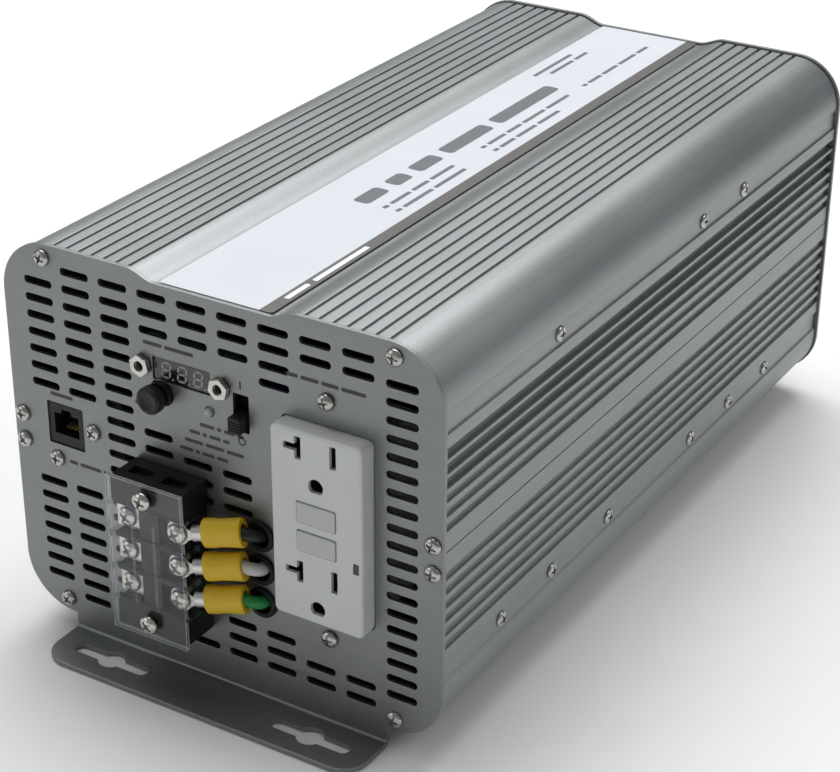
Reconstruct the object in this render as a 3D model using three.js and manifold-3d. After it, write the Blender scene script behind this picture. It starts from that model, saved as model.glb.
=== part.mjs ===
// Power inverter: a two-piece ribbed aluminium housing closed by two slotted end panels whose lower
// edges fold out into mounting feet. The front panel carries a duplex outlet, an AC terminal block
// under a clear cover, a display, a function button, a power switch and a remote jack; the rear
// panel carries two cooling fans and the DC terminals.
//
// Millimetres, +Z up. The origin is on the underside of the feet, at the centre of the plan.
// The front panel faces -Y. Positions on a panel are given as x and as height above panel centre.

import * as THREE from 'three';
import { mergeVertices } from 'three/addons/utils/BufferGeometryUtils.js';
import Module from 'manifold-3d';

const wasm = await Module();
wasm.setup();

// ---------------------------------------------------------------- driving dimensions

const GAP = 0.3;                    // air left between pieces that touch on the real object
const CUT = 1;                      // how far a cutting tool reaches past the face that it opens

const BODY_LENGTH = 298;            // over the outer faces of the two panels
const PANEL_WIDTH = 164;
const PANEL_HEIGHT = 135.4;
const PANEL_THICKNESS = 1.5;
const PANEL_CORNER = 19;            // radius of the four corners
const RECESS_DEPTH = 3;             // label recess along the top
const RECESS_WIDTH = 42.6;          // flat floor of the recess
const SHOULDER_WIDTH = 10.4;        // slope on either side of the recess

const FOOT_WIDTH = 124;
const FOOT_DROP = 6.8;              // panel's lower edge above the feet's underside
const FOOT_REACH = 20;              // how far a foot stands out from its panel
const FOOT_CORNER = 9;
const FOOT_BEND = 2.5;              // outer radius of the fold
const FOOT_SLOT_LENGTH = 29.5;
const FOOT_SLOT_WIDTH = 4.6;
const FOOT_EYE_RADIUS = 4.5;        // round middle of the foot slot
const FOOT_SLOT_SPREAD = 79.4;

const HOUSING_INSET = 0.8;          // the panels stand proud of the housing all round
const WALL = 3.8;
const SPLIT_HEIGHT = 1.4;           // parting line of the two extrusions, above panel centre
const SIDE_GROOVE_FIRST = 8.5;      // from the parting line to the first groove's middle
const SIDE_GROOVE_PITCH = 4.95;
const SIDE_GROOVE_COUNT = 6;
const SHALLOW_GROOVE = { width: 3, depth: 1.4 };
const DEEP_GROOVE = { width: 3.7, depth: 2.2 };
const UPPER_SHALLOW_COUNT = 3;      // upper grooves next to the parting line; the rest are deep
const SCREW_BAND_FROM_SPLIT = 43.3;
const SCREW_BAND_WIDTH = 7.6;
const SCREW_BAND_DEPTH = 0.8;
const TOP_GROOVE_COUNT = 7;
const TOP_GROOVE_PITCH = 4.9;
const TOP_GROOVE_OUTERMOST = 62;
const TOP_GROOVE = { width: 1.2, depth: 1 };
const LABEL_THICKNESS = 0.4;
const LABEL_MARGIN = 0.5;

const VENT_PITCH_X = 15;
const VENT_PITCH_Z = 6;
const VENT_LENGTH = 11;
const VENT_WIDTH = 2.6;
const VENT_EDGE_MARGIN = 6.4;       // least distance from a vent's middle to the panel's edge

const CORNER_SCREW_INSET = 17;      // corner screws, in from the panel's sides
const CORNER_SCREW_DROP = 4.8;      // and down from its upper and lower edges
const CORNER_BOSS_RADIUS = 3.9;
const SCREW_BORE = 1.4;
const PANEL_SCREW_HEAD = { radius: 2.9, height: 1.7 };

const OUTLET_X = 41.3;
const OUTLET_Z = 0.3;
const OUTLET_WIDTH = 32.6;
const OUTLET_HEIGHT = 66;
const OUTLET_PROUD = 6.6;           // face stands out of the panel
const OUTLET_CORNER = 2;
const OUTLET_BEVEL = 0.9;
const OUTLET_BODY_DEPTH = 24;
const OUTLET_PITCH = 43.1;          // from one socket to the other
const OUTLET_SCREW_SPREAD = 83.3;
const BLADE_SPREAD = 12.5;
const BLADE_SLOT = { width: 2.3, height: 7.6 };
const T_SLOT_ARM = 5.2;
const GROUND_DROP = 11.7;           // ground hole below the blades
const GROUND_RADIUS = 2.7;
const SOCKET_DEPTH = 5.2;
const BUTTON_WIDTH = 13.8;
const BUTTON_HEIGHT = 7;
const BUTTON_SPREAD = 10;           // between the middles of the reset and test buttons
const BUTTON_RISE = 0.6;            // middle of the pair above the outlet's centre
const BUTTON_PROUD = 0.5;
const BUTTON_DEPTH = 3.4;
const BUTTON_TRAVEL = 1;
const STRAP_THICKNESS = 1.2;
const STRAP_EAR = 7;                // strap past each device screw
const INDICATOR = { x: 14.1, z: -8.3, width: 2.2, height: 3.8, depth: 1.5 };

const DISPLAY_X = -12.3;
const DISPLAY_Z = 35.9;
const DISPLAY_WIDTH = 21.4;
const DISPLAY_HEIGHT = 7.4;
const DISPLAY_DEPTH = 7;
const DISPLAY_SINK = 0.5;           // window behind the panel's face
const DISPLAY_NUT_SPREAD = 30;
const DISPLAY_BOARD_HEIGHT = 15;
const DISPLAY_SHANK_RADIUS = 2.4;
const NUT_FLATS = 6.6;
const NUT_BORE = 1.6;
const NUT_PROUD = 1.8;
const FUNCTION_X = -20.2;
const FUNCTION_Z = 27.8;
const FUNCTION_CAP_RADIUS = 4.6;
const FUNCTION_STEM_RADIUS = 3.1;
const FUNCTION_PROUD = 7.6;
const FUNCTION_TRAVEL = 1.5;
const BUSHING_RADIUS = 4.2;
const COLLAR_PROUD = 2;
const FUNCTION_HOUSING = { width: 11, height: 8, depth: 5 };
const LED_X = -2;
const LED_Z = 26.3;
const LED_RADIUS = 1.5;
const LED_FLANGE = 0.5;
const LED_DEPTH = 4;
const SWITCH_X = 10;
const SWITCH_Z = 29.1;
const SWITCH_WIDTH = 5.8;
const SWITCH_HEIGHT = 12.8;
const SLIDER_WIDTH = 4.6;
const SLIDER_HEIGHT = 5.4;
const SLIDER_PROUD = 4.2;
const SLIDER_TRAVEL = 5.4;
const SWITCH_HOUSING = { side: 1.3, end: 4, depth: 8 };
const SWITCH_WELL = 3;

const JACK_X = -60.5;
const JACK_Z = 4.4;
const JACK_WIDTH = 14;
const JACK_HEIGHT = 14.7;
const JACK_DEPTH = 14;
const JACK_MOUTH = { width: 9.8, height: 7.4, depth: 10 };
const JACK_KEY = { width: 3.9, height: 1.6 };
const JACK_SINK = 0.4;              // jack behind the panel's face

const TERMINAL_X = -17.8;
const TERMINAL_Z = -25.4;
const TERMINAL_WIDTH = 29.4;
const TERMINAL_END = 9.9;            // cover past the outermost barriers, at either end
const TERMINAL_PROUD = 15.4;        // clear cover's face in front of the panel
const TERMINAL_PITCH = 12.2;
const TERMINAL_COUNT = 3;
const TERMINAL_COLUMN_SPREAD = 19.6;
const TERMINAL_BASE = 10;           // depth of the black base
const END_POCKET = { width: 8, length: 4.4, depth: 2.6, spread: 13 };
const BARRIER_DEPTH = 13.7;
const BARRIER_WIDTH = 1.8;
const SPINE = { width: 8, depth: 13.1 };
const COVER_WALL = 1.2;
const COVER_OVERHANG = 0.8;         // cover past the block all round
const COVER_RAIL = 8.6;             // side rails of the cover, back from its face
const NOTCH_HEIGHT = 9.8;           // opening in a rail at every terminal
const COVER_SCREW_HEAD = { radius: 3.3, height: 2 };
const TERMINAL_SCREW_HEAD = { radius: 3.5, height: 2.2 };
const TERMINAL_SHANK = 1.8;
const TERMINAL_BORE = 5;            // depth of the screws' holes in the base
const LUG_THICKNESS = 0.8;
const LUG_RING_RADIUS = 4.2;
const LUG_NECK_HEIGHT = 5;
const LUG_LEAN = 14.75;             // degrees that a lug's barrel leans back towards the panel
const LUG_RISE = 10.4;              // and rises away from its screw
const BARREL = { start: 5.2, length: 12, tall: 3, thick: 2.2 };    // from the screw's axis
const SLEEVE = { start: 9.4, length: 13.1, tall: 5, thick: 3.9 };
const SLEEVE_WALL = 1.3;
const WIRE_RADIUS = 2.1;
const WIRE_BEND = 8;                // spacing of the three wires' drops to the board
const WIRE_SHIFT = { x: 1, z: 0.8 };  // wires from the middles of their grommets
const WIRE_ENTRY = 12;              // nearest drop behind the panel
const GROMMET_X = 15.9;
const GROMMET_RISE = 1;             // grommets above their terminals
const GROMMET_RADIUS = 5.4;
const GROMMET_NECK = 4.2;
const GROMMET_BORE = 3.7;
const GROMMET_PROUD = 1;
const GROMMET_BACK = 1.5;

const FAN_SIZE = 60;
const FAN_DEPTH = 20;
const FAN_SPREAD = 70;
const FAN_Z = 22;
const FAN_BORE = 27.5;              // radius of the airway
const FAN_CORNER_HOLE = 50;         // spacing of a fan's four screws
const FAN_SCREW_HOLE = 2;
const FAN_HUB = 12;
const SPOKE_WIDTH = 4;
const MOTOR_DEPTH = 3;
const BLADE_COUNT = 7;
const BLADE_THICKNESS = 1.2;
const BLADE_PITCH = 38;             // degrees
const BLADE_CLEARANCE = 0.8;        // between the blades' tips and the airway
const GUARD_WIRE = 1.3;
const GUARD_RINGS = [13, 26];
const GUARD_EYE_RADIUS = 3.6;
const DC_SPREAD = 84;
const DC_Z = -38;
const DC_BASE_RADIUS = 13;
const DC_BASE_PROUD = 7;
const DC_NECK_RADIUS = 9;
const DC_NECK_DEPTH = 8;
const DC_STUD_RADIUS = 4;
const DC_STUD_PROUD = 19;
const DC_STUD_DEPTH = 14;
const DC_NUT_FLATS = 13;
const DC_NUT_HEIGHT = 6.5;
const GROUND_Z = -50;
const GROUND_HEAD = { radius: 4.5, height: 3 };
const GROUND_SHANK = 2.2;

const BOARD_THICKNESS = 1.6;
const BOARD_Z = -48;                // board's underside
const BOARD_MARGIN = 5;             // between the board and the side walls
const HEAT_BAR_HEIGHT = 38;
const HEAT_BAR_THICKNESS = 5;
const BOARD_FRONT = 10;             // board behind the front panel
const TRANSFORMER = { width: 44, length: 52, height: 46, y: 18, apart: 8 };
const CAPACITOR = { x: -38, y: -62 };
const CAPACITOR_RADIUS = 15;
const CAPACITOR_HEIGHT = 50;

// ---------------------------------------------------------------- derived positions

const CENTRE_Z = FOOT_DROP + PANEL_HEIGHT / 2;      // panel centre above the feet's underside
const FRONT = -BODY_LENGTH / 2;                     // outer face of the front panel
const PANEL_BACK = FRONT + PANEL_THICKNESS;         // its inner face
const HALF_WIDTH = PANEL_WIDTH / 2 - HOUSING_INSET;
const HALF_HEIGHT = PANEL_HEIGHT / 2 - HOUSING_INSET;
const HOUSING_CORNER = PANEL_CORNER - HOUSING_INSET;
const HOUSING_END = BODY_LENGTH / 2 - PANEL_THICKNESS - GAP;
const RECESS_HALF = RECESS_WIDTH / 2;
const SHOULDER_OUTER = RECESS_HALF + SHOULDER_WIDTH;
const CORNER_SCREW_X = PANEL_WIDTH / 2 - CORNER_SCREW_INSET;
const CORNER_SCREW_Z = PANEL_HEIGHT / 2 - CORNER_SCREW_DROP;
const BUTTON_Z = OUTLET_Z + BUTTON_RISE;
const TERMINAL_HEIGHT = TERMINAL_COUNT * TERMINAL_PITCH + 2 * TERMINAL_END;

// ---------------------------------------------------------------- solids

function solid(geometry) {
  const bare = geometry.clone();
  bare.deleteAttribute('normal');
  bare.deleteAttribute('uv');
  const merged = mergeVertices(bare, 1e-4);
  const index = merged.index.array;
  const corners = [];
  for (let i = 0; i < index.length; i += 3) {
    const [a, b, c] = [index[i], index[i + 1], index[i + 2]];
    if (a !== b && b !== c && c !== a) corners.push(a, b, c);
  }
  return new wasm.Manifold(new wasm.Mesh({
    numProp: 3,
    vertProperties: new Float32Array(merged.attributes.position.array),
    triVerts: new Uint32Array(corners),
  }));
}

function geometryOf(manifold) {
  const mesh = manifold.getMesh();
  const geometry = new THREE.BufferGeometry();
  geometry.setAttribute('position', new THREE.BufferAttribute(mesh.vertProperties, 3));
  geometry.setIndex(new THREE.BufferAttribute(mesh.triVerts, 1));
  return geometry;
}

// A block from its limits along X, Y and height above panel centre.
function block([x0, x1], [y0, y1], [z0, z1]) {
  const geometry = new THREE.BoxGeometry(x1 - x0, y1 - y0, z1 - z0);
  geometry.translate((x0 + x1) / 2, (y0 + y1) / 2, CENTRE_Z + (z0 + z1) / 2);
  return solid(geometry);
}

// A block centred on x and z, between two depths.
function slab(x, z, width, height, y0, y1) {
  return block([x - width / 2, x + width / 2], [y0, y1], [z - height / 2, z + height / 2]);
}

// A shape drawn in x and height above panel centre, made solid between two depths.
function plate(shape, y0, y1, curveSegments = 6, bevel = 0) {
  const geometry = new THREE.ExtrudeGeometry(shape, {
    depth: y1 - y0 - 2 * bevel,
    curveSegments,
    bevelEnabled: bevel > 0,
    bevelThickness: bevel,
    bevelSize: bevel,
    bevelOffset: -bevel,
    bevelSegments: 1,
  });
  geometry.rotateX(Math.PI / 2);
  geometry.translate(0, y1 - bevel, CENTRE_Z);
  return geometry;
}

function rodAlongY(radius, x, z, y0, y1, sides = 24) {
  const geometry = new THREE.CylinderGeometry(radius, radius, y1 - y0, sides);
  geometry.translate(x, (y0 + y1) / 2, CENTRE_Z + z);
  return solid(geometry);
}

// A body of revolution about a line along Y; the profile holds [radius, depth] from back to front.
function turnedAlongY(profile, x, z, sides = 24) {
  const points = profile.map(([radius, y]) => new THREE.Vector2(radius, -y));
  const geometry = new THREE.LatheGeometry(points, sides);
  geometry.rotateX(Math.PI);
  geometry.translate(x, 0, CENTRE_Z + z);
  return solid(geometry);
}

function hexAlongY(flats, x, z, y0, y1) {
  return rodAlongY(flats / Math.sqrt(3), x, z, y0, y1, 6);
}

function roundedRectangle(x, z, width, height, radius) {
  const shape = new THREE.Shape();
  const [left, right] = [x - width / 2, x + width / 2];
  const [bottom, top] = [z - height / 2, z + height / 2];
  shape.moveTo(left + radius, bottom);
  shape.lineTo(right - radius, bottom);
  shape.absarc(right - radius, bottom + radius, radius, -Math.PI / 2, 0);
  shape.lineTo(right, top - radius);
  shape.absarc(right - radius, top - radius, radius, 0, Math.PI / 2);
  shape.lineTo(left + radius, top);
  shape.absarc(left + radius, top - radius, radius, Math.PI / 2, Math.PI);
  shape.lineTo(left, bottom + radius);
  shape.absarc(left + radius, bottom + radius, radius, Math.PI, 1.5 * Math.PI);
  return shape;
}

function joined(solids) {
  return solids.reduce((whole, piece) => whole.add(piece));
}

function cut(body, tools) {
  return tools.reduce((rest, tool) => rest.subtract(tool), body);
}

// Turns a solid half a turn about the vertical axis, from the front panel to the rear one.
function atRear(body) {
  return body.rotate([0, 0, 180]);
}

// ---------------------------------------------------------------- the assembly

const inverter = new THREE.Group();
inverter.name = 'power_inverter';

const finishes = {
  anodised: { color: 0xb4b6b8, roughness: 0.42, metalness: 0.85 },
  panelGrey: { color: 0x7c7f80, roughness: 0.5, metalness: 0.75 },
  label: { color: 0xe4e8ee, roughness: 0.45, metalness: 0 },
  outletWhite: { color: 0xd9dcd8, roughness: 0.38, metalness: 0 },
  blackPlastic: { color: 0x161617, roughness: 0.45, metalness: 0 },
  darkWindow: { color: 0x0b0c0c, roughness: 0.15, metalness: 0 },
  clearPlastic: { color: 0xb9c0c6, roughness: 0.12, metalness: 0, transparent: true, opacity: 0.35 },
  nickel: { color: 0xb9b5a8, roughness: 0.25, metalness: 1 },
  yellowVinyl: { color: 0xe0a81c, roughness: 0.42, metalness: 0 },
  blackVinyl: { color: 0x141414, roughness: 0.4, metalness: 0 },
  whiteVinyl: { color: 0xd8d8d0, roughness: 0.4, metalness: 0 },
  greenVinyl: { color: 0x1f8a3a, roughness: 0.4, metalness: 0 },
  rubber: { color: 0x101010, roughness: 0.7, metalness: 0 },
  redPlastic: { color: 0xa01818, roughness: 0.45, metalness: 0 },
  brass: { color: 0xc2a24a, roughness: 0.3, metalness: 1 },
  circuitBoard: { color: 0x2d5a2e, roughness: 0.6, metalness: 0 },
  ferrite: { color: 0x2a2a2c, roughness: 0.8, metalness: 0.2 },
  sleeveBlue: { color: 0x23304f, roughness: 0.5, metalness: 0 },
};

function add(name, body, finish) {
  const geometry = body.isBufferGeometry ? body : geometryOf(body);
  const mesh = new THREE.Mesh(geometry, new THREE.MeshStandardMaterial(finishes[finish]));
  mesh.name = name;
  inverter.add(mesh);
}

// ---------------------------------------------------------------- housing

// The outside of one extrusion, right half, from the parting line round to the middle of its top.
// Heights are distances from the parting line; crown is the top's distance from it.
function housingRightSide(crown, start, recessed, deepFrom) {
  const points = [[HALF_WIDTH, start]];
  for (let k = 0; k < SIDE_GROOVE_COUNT; k += 1) {
    const middle = SIDE_GROOVE_FIRST + k * SIDE_GROOVE_PITCH;
    const { width, depth } = k >= deepFrom ? DEEP_GROOVE : SHALLOW_GROOVE;
    points.push([HALF_WIDTH, middle - width / 2]);
    points.push([HALF_WIDTH - depth, middle - width / 2]);
    points.push([HALF_WIDTH - depth, middle + width / 2]);
    points.push([HALF_WIDTH, middle + width / 2]);
  }
  const bandLow = SCREW_BAND_FROM_SPLIT - SCREW_BAND_WIDTH / 2;
  const bandHigh = SCREW_BAND_FROM_SPLIT + SCREW_BAND_WIDTH / 2;
  points.push([HALF_WIDTH, bandLow]);
  points.push([HALF_WIDTH - SCREW_BAND_DEPTH, bandLow]);
  points.push([HALF_WIDTH - SCREW_BAND_DEPTH, bandHigh - SCREW_BAND_DEPTH]);
  points.push([HALF_WIDTH, bandHigh]);
  const arcSteps = 8;
  for (let k = 0; k <= arcSteps; k += 1) {
    const angle = (k / arcSteps) * Math.PI / 2;
    points.push([
      HALF_WIDTH - HOUSING_CORNER + HOUSING_CORNER * Math.cos(angle),
      crown - HOUSING_CORNER + HOUSING_CORNER * Math.sin(angle),
    ]);
  }
  for (let k = 0; k < TOP_GROOVE_COUNT; k += 1) {
    const middle = TOP_GROOVE_OUTERMOST - k * TOP_GROOVE_PITCH;
    points.push([middle + TOP_GROOVE.width / 2, crown]);
    points.push([middle + TOP_GROOVE.width / 2, crown - TOP_GROOVE.depth]);
    points.push([middle - TOP_GROOVE.width / 2, crown - TOP_GROOVE.depth]);
    points.push([middle - TOP_GROOVE.width / 2, crown]);
  }
  if (recessed) points.push(...shoulder(crown, RECESS_DEPTH));
  return points;
}

// The S-shaped slope from the top face down to the floor of the label recess, in four steps.
function shoulder(top, drop) {
  const steps = 4;
  const points = [];
  for (let k = 0; k <= steps; k += 1) {
    const t = k / steps;
    const fall = t * t * (3 - 2 * t);
    points.push([SHOULDER_OUTER - (SHOULDER_OUTER - RECESS_HALF) * t, top - drop * fall]);
  }
  return points;
}

function housingShape(crown, start, recessed, deepFrom, sense) {
  const outside = housingRightSide(crown, start, recessed, deepFrom);
  const mirrored = outside.map(([x, h]) => [-x, h]).reverse();
  const wallTop = crown - WALL - (recessed ? RECESS_DEPTH : 0);
  const inner = HALF_WIDTH - WALL;
  const radius = HOUSING_CORNER - WALL;
  const inside = [[-inner, start], [-inner, wallTop - radius], [-inner + radius, wallTop]];
  const insideRight = inside.map(([x, h]) => [-x, h]).reverse();
  const loop = [...outside, ...mirrored, ...inside, ...insideRight];
  const placed = loop.map(([x, h]) => new THREE.Vector2(x, SPLIT_HEIGHT + sense * h));
  return new THREE.Shape(placed);
}

// Round bosses inside the corners take the panels' screws.
function screwBosses(sense) {
  const bosses = [];
  const bores = [];
  for (const side of [-1, 1]) {
    const x = side * CORNER_SCREW_X;
    const z = sense * CORNER_SCREW_Z;
    bosses.push(rodAlongY(CORNER_BOSS_RADIUS, x, z, -HOUSING_END, HOUSING_END, 10));
    bores.push(rodAlongY(SCREW_BORE, x, z, -HOUSING_END - CUT, HOUSING_END + CUT, 8));
  }
  return { bosses, bores };
}

function housing(crown, recessed, deepFrom, sense) {
  const shape = housingShape(crown, GAP / 2, recessed, deepFrom, sense);
  const shell = solid(plate(shape, -HOUSING_END, HOUSING_END));
  const { bosses, bores } = screwBosses(sense);
  return cut(joined([shell, ...bosses]), bores);
}

const UPPER_CROWN = HALF_HEIGHT - SPLIT_HEIGHT;
const LOWER_CROWN = HALF_HEIGHT + SPLIT_HEIGHT;

add('upper_housing', housing(UPPER_CROWN, true, UPPER_SHALLOW_COUNT, 1), 'anodised');
add('lower_housing', housing(LOWER_CROWN, false, SIDE_GROOVE_COUNT, -1), 'anodised');

const labelFloor = HALF_HEIGHT - RECESS_DEPTH;
const labelBottom = labelFloor + GAP;
add('top_label', block(
  [-RECESS_HALF + LABEL_MARGIN, RECESS_HALF - LABEL_MARGIN],
  [-HOUSING_END + LABEL_MARGIN, HOUSING_END - LABEL_MARGIN],
  [labelBottom, labelBottom + LABEL_THICKNESS],
), 'label');

// ---------------------------------------------------------------- end panels

function panelShape() {
  const shape = new THREE.Shape();
  const [w, h, r] = [PANEL_WIDTH / 2, PANEL_HEIGHT / 2, PANEL_CORNER];
  const legBottom = -h - FOOT_DROP + FOOT_BEND;
  const leg = FOOT_WIDTH / 2;
  shape.moveTo(leg, legBottom);
  shape.lineTo(leg, -h);
  shape.absarc(w - r, -h + r, r, -Math.PI / 2, 0);
  shape.lineTo(w, h - r);
  shape.absarc(w - r, h - r, r, 0, Math.PI / 2);
  const slope = shoulder(h, RECESS_DEPTH);
  for (const [x, z] of slope) shape.lineTo(x, z);
  for (const [x, z] of slope.reverse()) shape.lineTo(-x, z);
  shape.absarc(-w + r, h - r, r, Math.PI / 2, Math.PI);
  shape.lineTo(-w, -h + r);
  shape.absarc(-w + r, -h + r, r, Math.PI, 1.5 * Math.PI);
  shape.lineTo(-leg, -h);
  shape.lineTo(-leg, legBottom);
  return shape;
}

// Keep-out areas are [left, right, bottom, top] on the panel.
function overlaps(x, z, [left, right, bottom, top]) {
  const reach = VENT_LENGTH / 2;
  return x + reach > left && x - reach < right && z > bottom && z < top;
}

function ventPositions(keepOuts) {
  const columns = 2 * Math.floor((PANEL_WIDTH / 2 - VENT_EDGE_MARGIN) / VENT_PITCH_X);
  const rows = 2 * Math.floor((PANEL_HEIGHT / 2 - VENT_EDGE_MARGIN) / VENT_PITCH_Z) + 1;
  const positions = [];
  for (let i = 0; i < columns; i += 1) {
    for (let j = 0; j < rows; j += 1) {
      const x = (i - (columns - 1) / 2) * VENT_PITCH_X;
      const z = (j - (rows - 1) / 2) * VENT_PITCH_Z;
      const nearCornerX = Math.abs(x) + VENT_LENGTH / 2 > CORNER_SCREW_X - SCREW_BORE;
      const nearCornerZ = Math.abs(z) > CORNER_SCREW_Z - VENT_PITCH_Z;
      if (nearCornerX && nearCornerZ) continue;
      if (keepOuts.some((area) => overlaps(x, z, area))) continue;
      positions.push([x, z]);
    }
  }
  return positions;
}

function panelHole(radius, x, z, sides = 12) {
  return rodAlongY(radius, x, z, FRONT - CUT, PANEL_BACK + CUT, sides);
}

function panelWindow(x, z, width, height) {
  const clear = 2 * GAP;
  return slab(x, z, width + clear, height + clear, FRONT - CUT, PANEL_BACK + CUT);
}

// The fold and the flat of a foot: a strip of one section along X.
function footStrip() {
  const t = PANEL_THICKNESS;
  const foldCentre = PANEL_BACK - FOOT_BEND;
  const section = new THREE.Shape();
  section.moveTo(PANEL_BACK, FOOT_DROP + FOOT_BEND);
  section.lineTo(FRONT, FOOT_DROP + FOOT_BEND);
  section.lineTo(FRONT, FOOT_BEND);
  section.absarc(foldCentre, FOOT_BEND, FOOT_BEND - t, 0, -Math.PI / 2, true);
  section.lineTo(FRONT - FOOT_REACH, t);
  section.lineTo(FRONT - FOOT_REACH, 0);
  section.lineTo(foldCentre, 0);
  section.absarc(foldCentre, FOOT_BEND, FOOT_BEND, -Math.PI / 2, 0, false);
  const strip = new THREE.ExtrudeGeometry(section, {
    depth: FOOT_WIDTH,
    bevelEnabled: false,
    curveSegments: 2,
  });
  strip.rotateX(Math.PI / 2);
  strip.rotateZ(Math.PI / 2);
  strip.translate(-FOOT_WIDTH / 2, 0, 0);
  return solid(strip);
}

// A shape drawn in plan, made solid between two heights above the feet's underside.
function planPrism(shape, z0, z1, curveSegments) {
  const geometry = new THREE.ExtrudeGeometry(shape, {
    depth: z1 - z0,
    bevelEnabled: false,
    curveSegments,
  });
  geometry.translate(0, 0, z0);
  return solid(geometry);
}

function footPlan() {
  const half = FOOT_WIDTH / 2;
  const front = FRONT - FOOT_REACH;
  const shape = new THREE.Shape();
  shape.moveTo(-half, PANEL_BACK + CUT);
  shape.lineTo(-half, front + FOOT_CORNER);
  shape.absarc(-half + FOOT_CORNER, front + FOOT_CORNER, FOOT_CORNER, Math.PI, 1.5 * Math.PI);
  shape.lineTo(half - FOOT_CORNER, front);
  shape.absarc(half - FOOT_CORNER, front + FOOT_CORNER, FOOT_CORNER, 1.5 * Math.PI, 2 * Math.PI);
  shape.lineTo(half, PANEL_BACK + CUT);
  return planPrism(shape, -CUT, FOOT_DROP + FOOT_BEND + CUT, 3);
}

// A foot's fixing slot, with a round eye in its middle.
function footSlot(x) {
  const y = FRONT - FOOT_REACH / 2;
  const half = FOOT_SLOT_LENGTH / 2 - FOOT_SLOT_WIDTH / 2;
  const radius = FOOT_SLOT_WIDTH / 2;
  const slot = new THREE.Shape();
  slot.moveTo(x - half, y - radius);
  slot.lineTo(x + half, y - radius);
  slot.absarc(x + half, y, radius, -Math.PI / 2, Math.PI / 2);
  slot.lineTo(x - half, y + radius);
  slot.absarc(x - half, y, radius, Math.PI / 2, 1.5 * Math.PI);
  const eye = new THREE.Shape();
  eye.absarc(x, y, FOOT_EYE_RADIUS, 0, 2 * Math.PI);
  const top = PANEL_THICKNESS + CUT;
  return planPrism(slot, -CUT, top, 3).add(planPrism(eye, -CUT, top, 6));
}

function ventedPanel(keepOuts) {
  const vents = ventPositions(keepOuts).map(([x, z]) => (
    slab(x, z, VENT_LENGTH, VENT_WIDTH, FRONT - CUT, PANEL_BACK + CUT)));
  const slots = [-1, 1].map((side) => footSlot(side * FOOT_SLOT_SPREAD / 2));
  const foot = cut(footStrip().intersect(footPlan()), slots);
  const sheet = solid(plate(panelShape(), FRONT, PANEL_BACK, 4)).add(foot);
  const screwHoles = [-1, 1].flatMap((side) => [-1, 1].map((end) => (
    panelHole(SCREW_BORE + GAP, side * CORNER_SCREW_X, end * CORNER_SCREW_Z, 8))));
  return cut(sheet, [joined(vents), ...screwHoles]);
}

const terminalRows = [];
for (let k = 0; k < TERMINAL_COUNT; k += 1) {
  terminalRows.push(TERMINAL_Z + ((TERMINAL_COUNT - 1) / 2 - k) * TERMINAL_PITCH);
}

const grommetRows = terminalRows.map((z) => z + GROMMET_RISE);
const grommetClear = GROMMET_NECK + GAP + VENT_WIDTH / 2;
const terminalTop = TERMINAL_Z + TERMINAL_HEIGHT / 2;
const terminalFoot = TERMINAL_Z - TERMINAL_HEIGHT / 2;
const outletHalf = OUTLET_WIDTH / 2 + 1.5;
const outletReach = OUTLET_SCREW_SPREAD / 2 + 9.4;
const frontKeepOuts = [
  [JACK_X - JACK_WIDTH / 2, JACK_X + JACK_WIDTH / 2 + 6, JACK_Z - 18.5, JACK_Z + 12],
  [DISPLAY_X - 17.7, SWITCH_X + 4, SWITCH_Z - 14, DISPLAY_Z + 8],
  [LED_X - 12, SWITCH_X + 4, SWITCH_Z - 20, SWITCH_Z - 14],
  [OUTLET_X - outletHalf, OUTLET_X + outletHalf, OUTLET_Z - 40, OUTLET_Z + 40],
  [OUTLET_X - 11, OUTLET_X + outletHalf, -outletReach, outletReach],
  [TERMINAL_X - 13, TERMINAL_X + 15, terminalFoot - 3.8, terminalTop - TERMINAL_PITCH],
  [GROMMET_X - 3.7, GROMMET_X + 11.3,
    Math.min(...grommetRows) - grommetClear, Math.max(...grommetRows) + grommetClear],
];

const outletScrews = [1, -1].map((end) => OUTLET_Z + end * OUTLET_SCREW_SPREAD / 2);
const sideNuts = [-1, 1].map((side) => DISPLAY_X + side * DISPLAY_NUT_SPREAD / 2);
add('front_panel', cut(ventedPanel(frontKeepOuts), [
  panelWindow(OUTLET_X, OUTLET_Z, OUTLET_WIDTH, OUTLET_HEIGHT),
  panelWindow(DISPLAY_X, DISPLAY_Z, DISPLAY_WIDTH, DISPLAY_HEIGHT),
  panelWindow(JACK_X, JACK_Z, JACK_WIDTH, JACK_HEIGHT),
  slab(SWITCH_X, SWITCH_Z, SWITCH_WIDTH, SWITCH_HEIGHT, FRONT - CUT, PANEL_BACK + CUT),
  panelHole(BUSHING_RADIUS + GAP, FUNCTION_X, FUNCTION_Z),
  panelHole(LED_RADIUS + GAP, LED_X, LED_Z, 8),
  ...outletScrews.map((z) => panelHole(SCREW_BORE + GAP, OUTLET_X, z, 8)),
  ...sideNuts.map((x) => panelHole(DISPLAY_SHANK_RADIUS + GAP, x, DISPLAY_Z, 10)),
  ...grommetRows.map((z) => panelHole(GROMMET_NECK + GAP, GROMMET_X, z)),
]), 'panelGrey');

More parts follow.
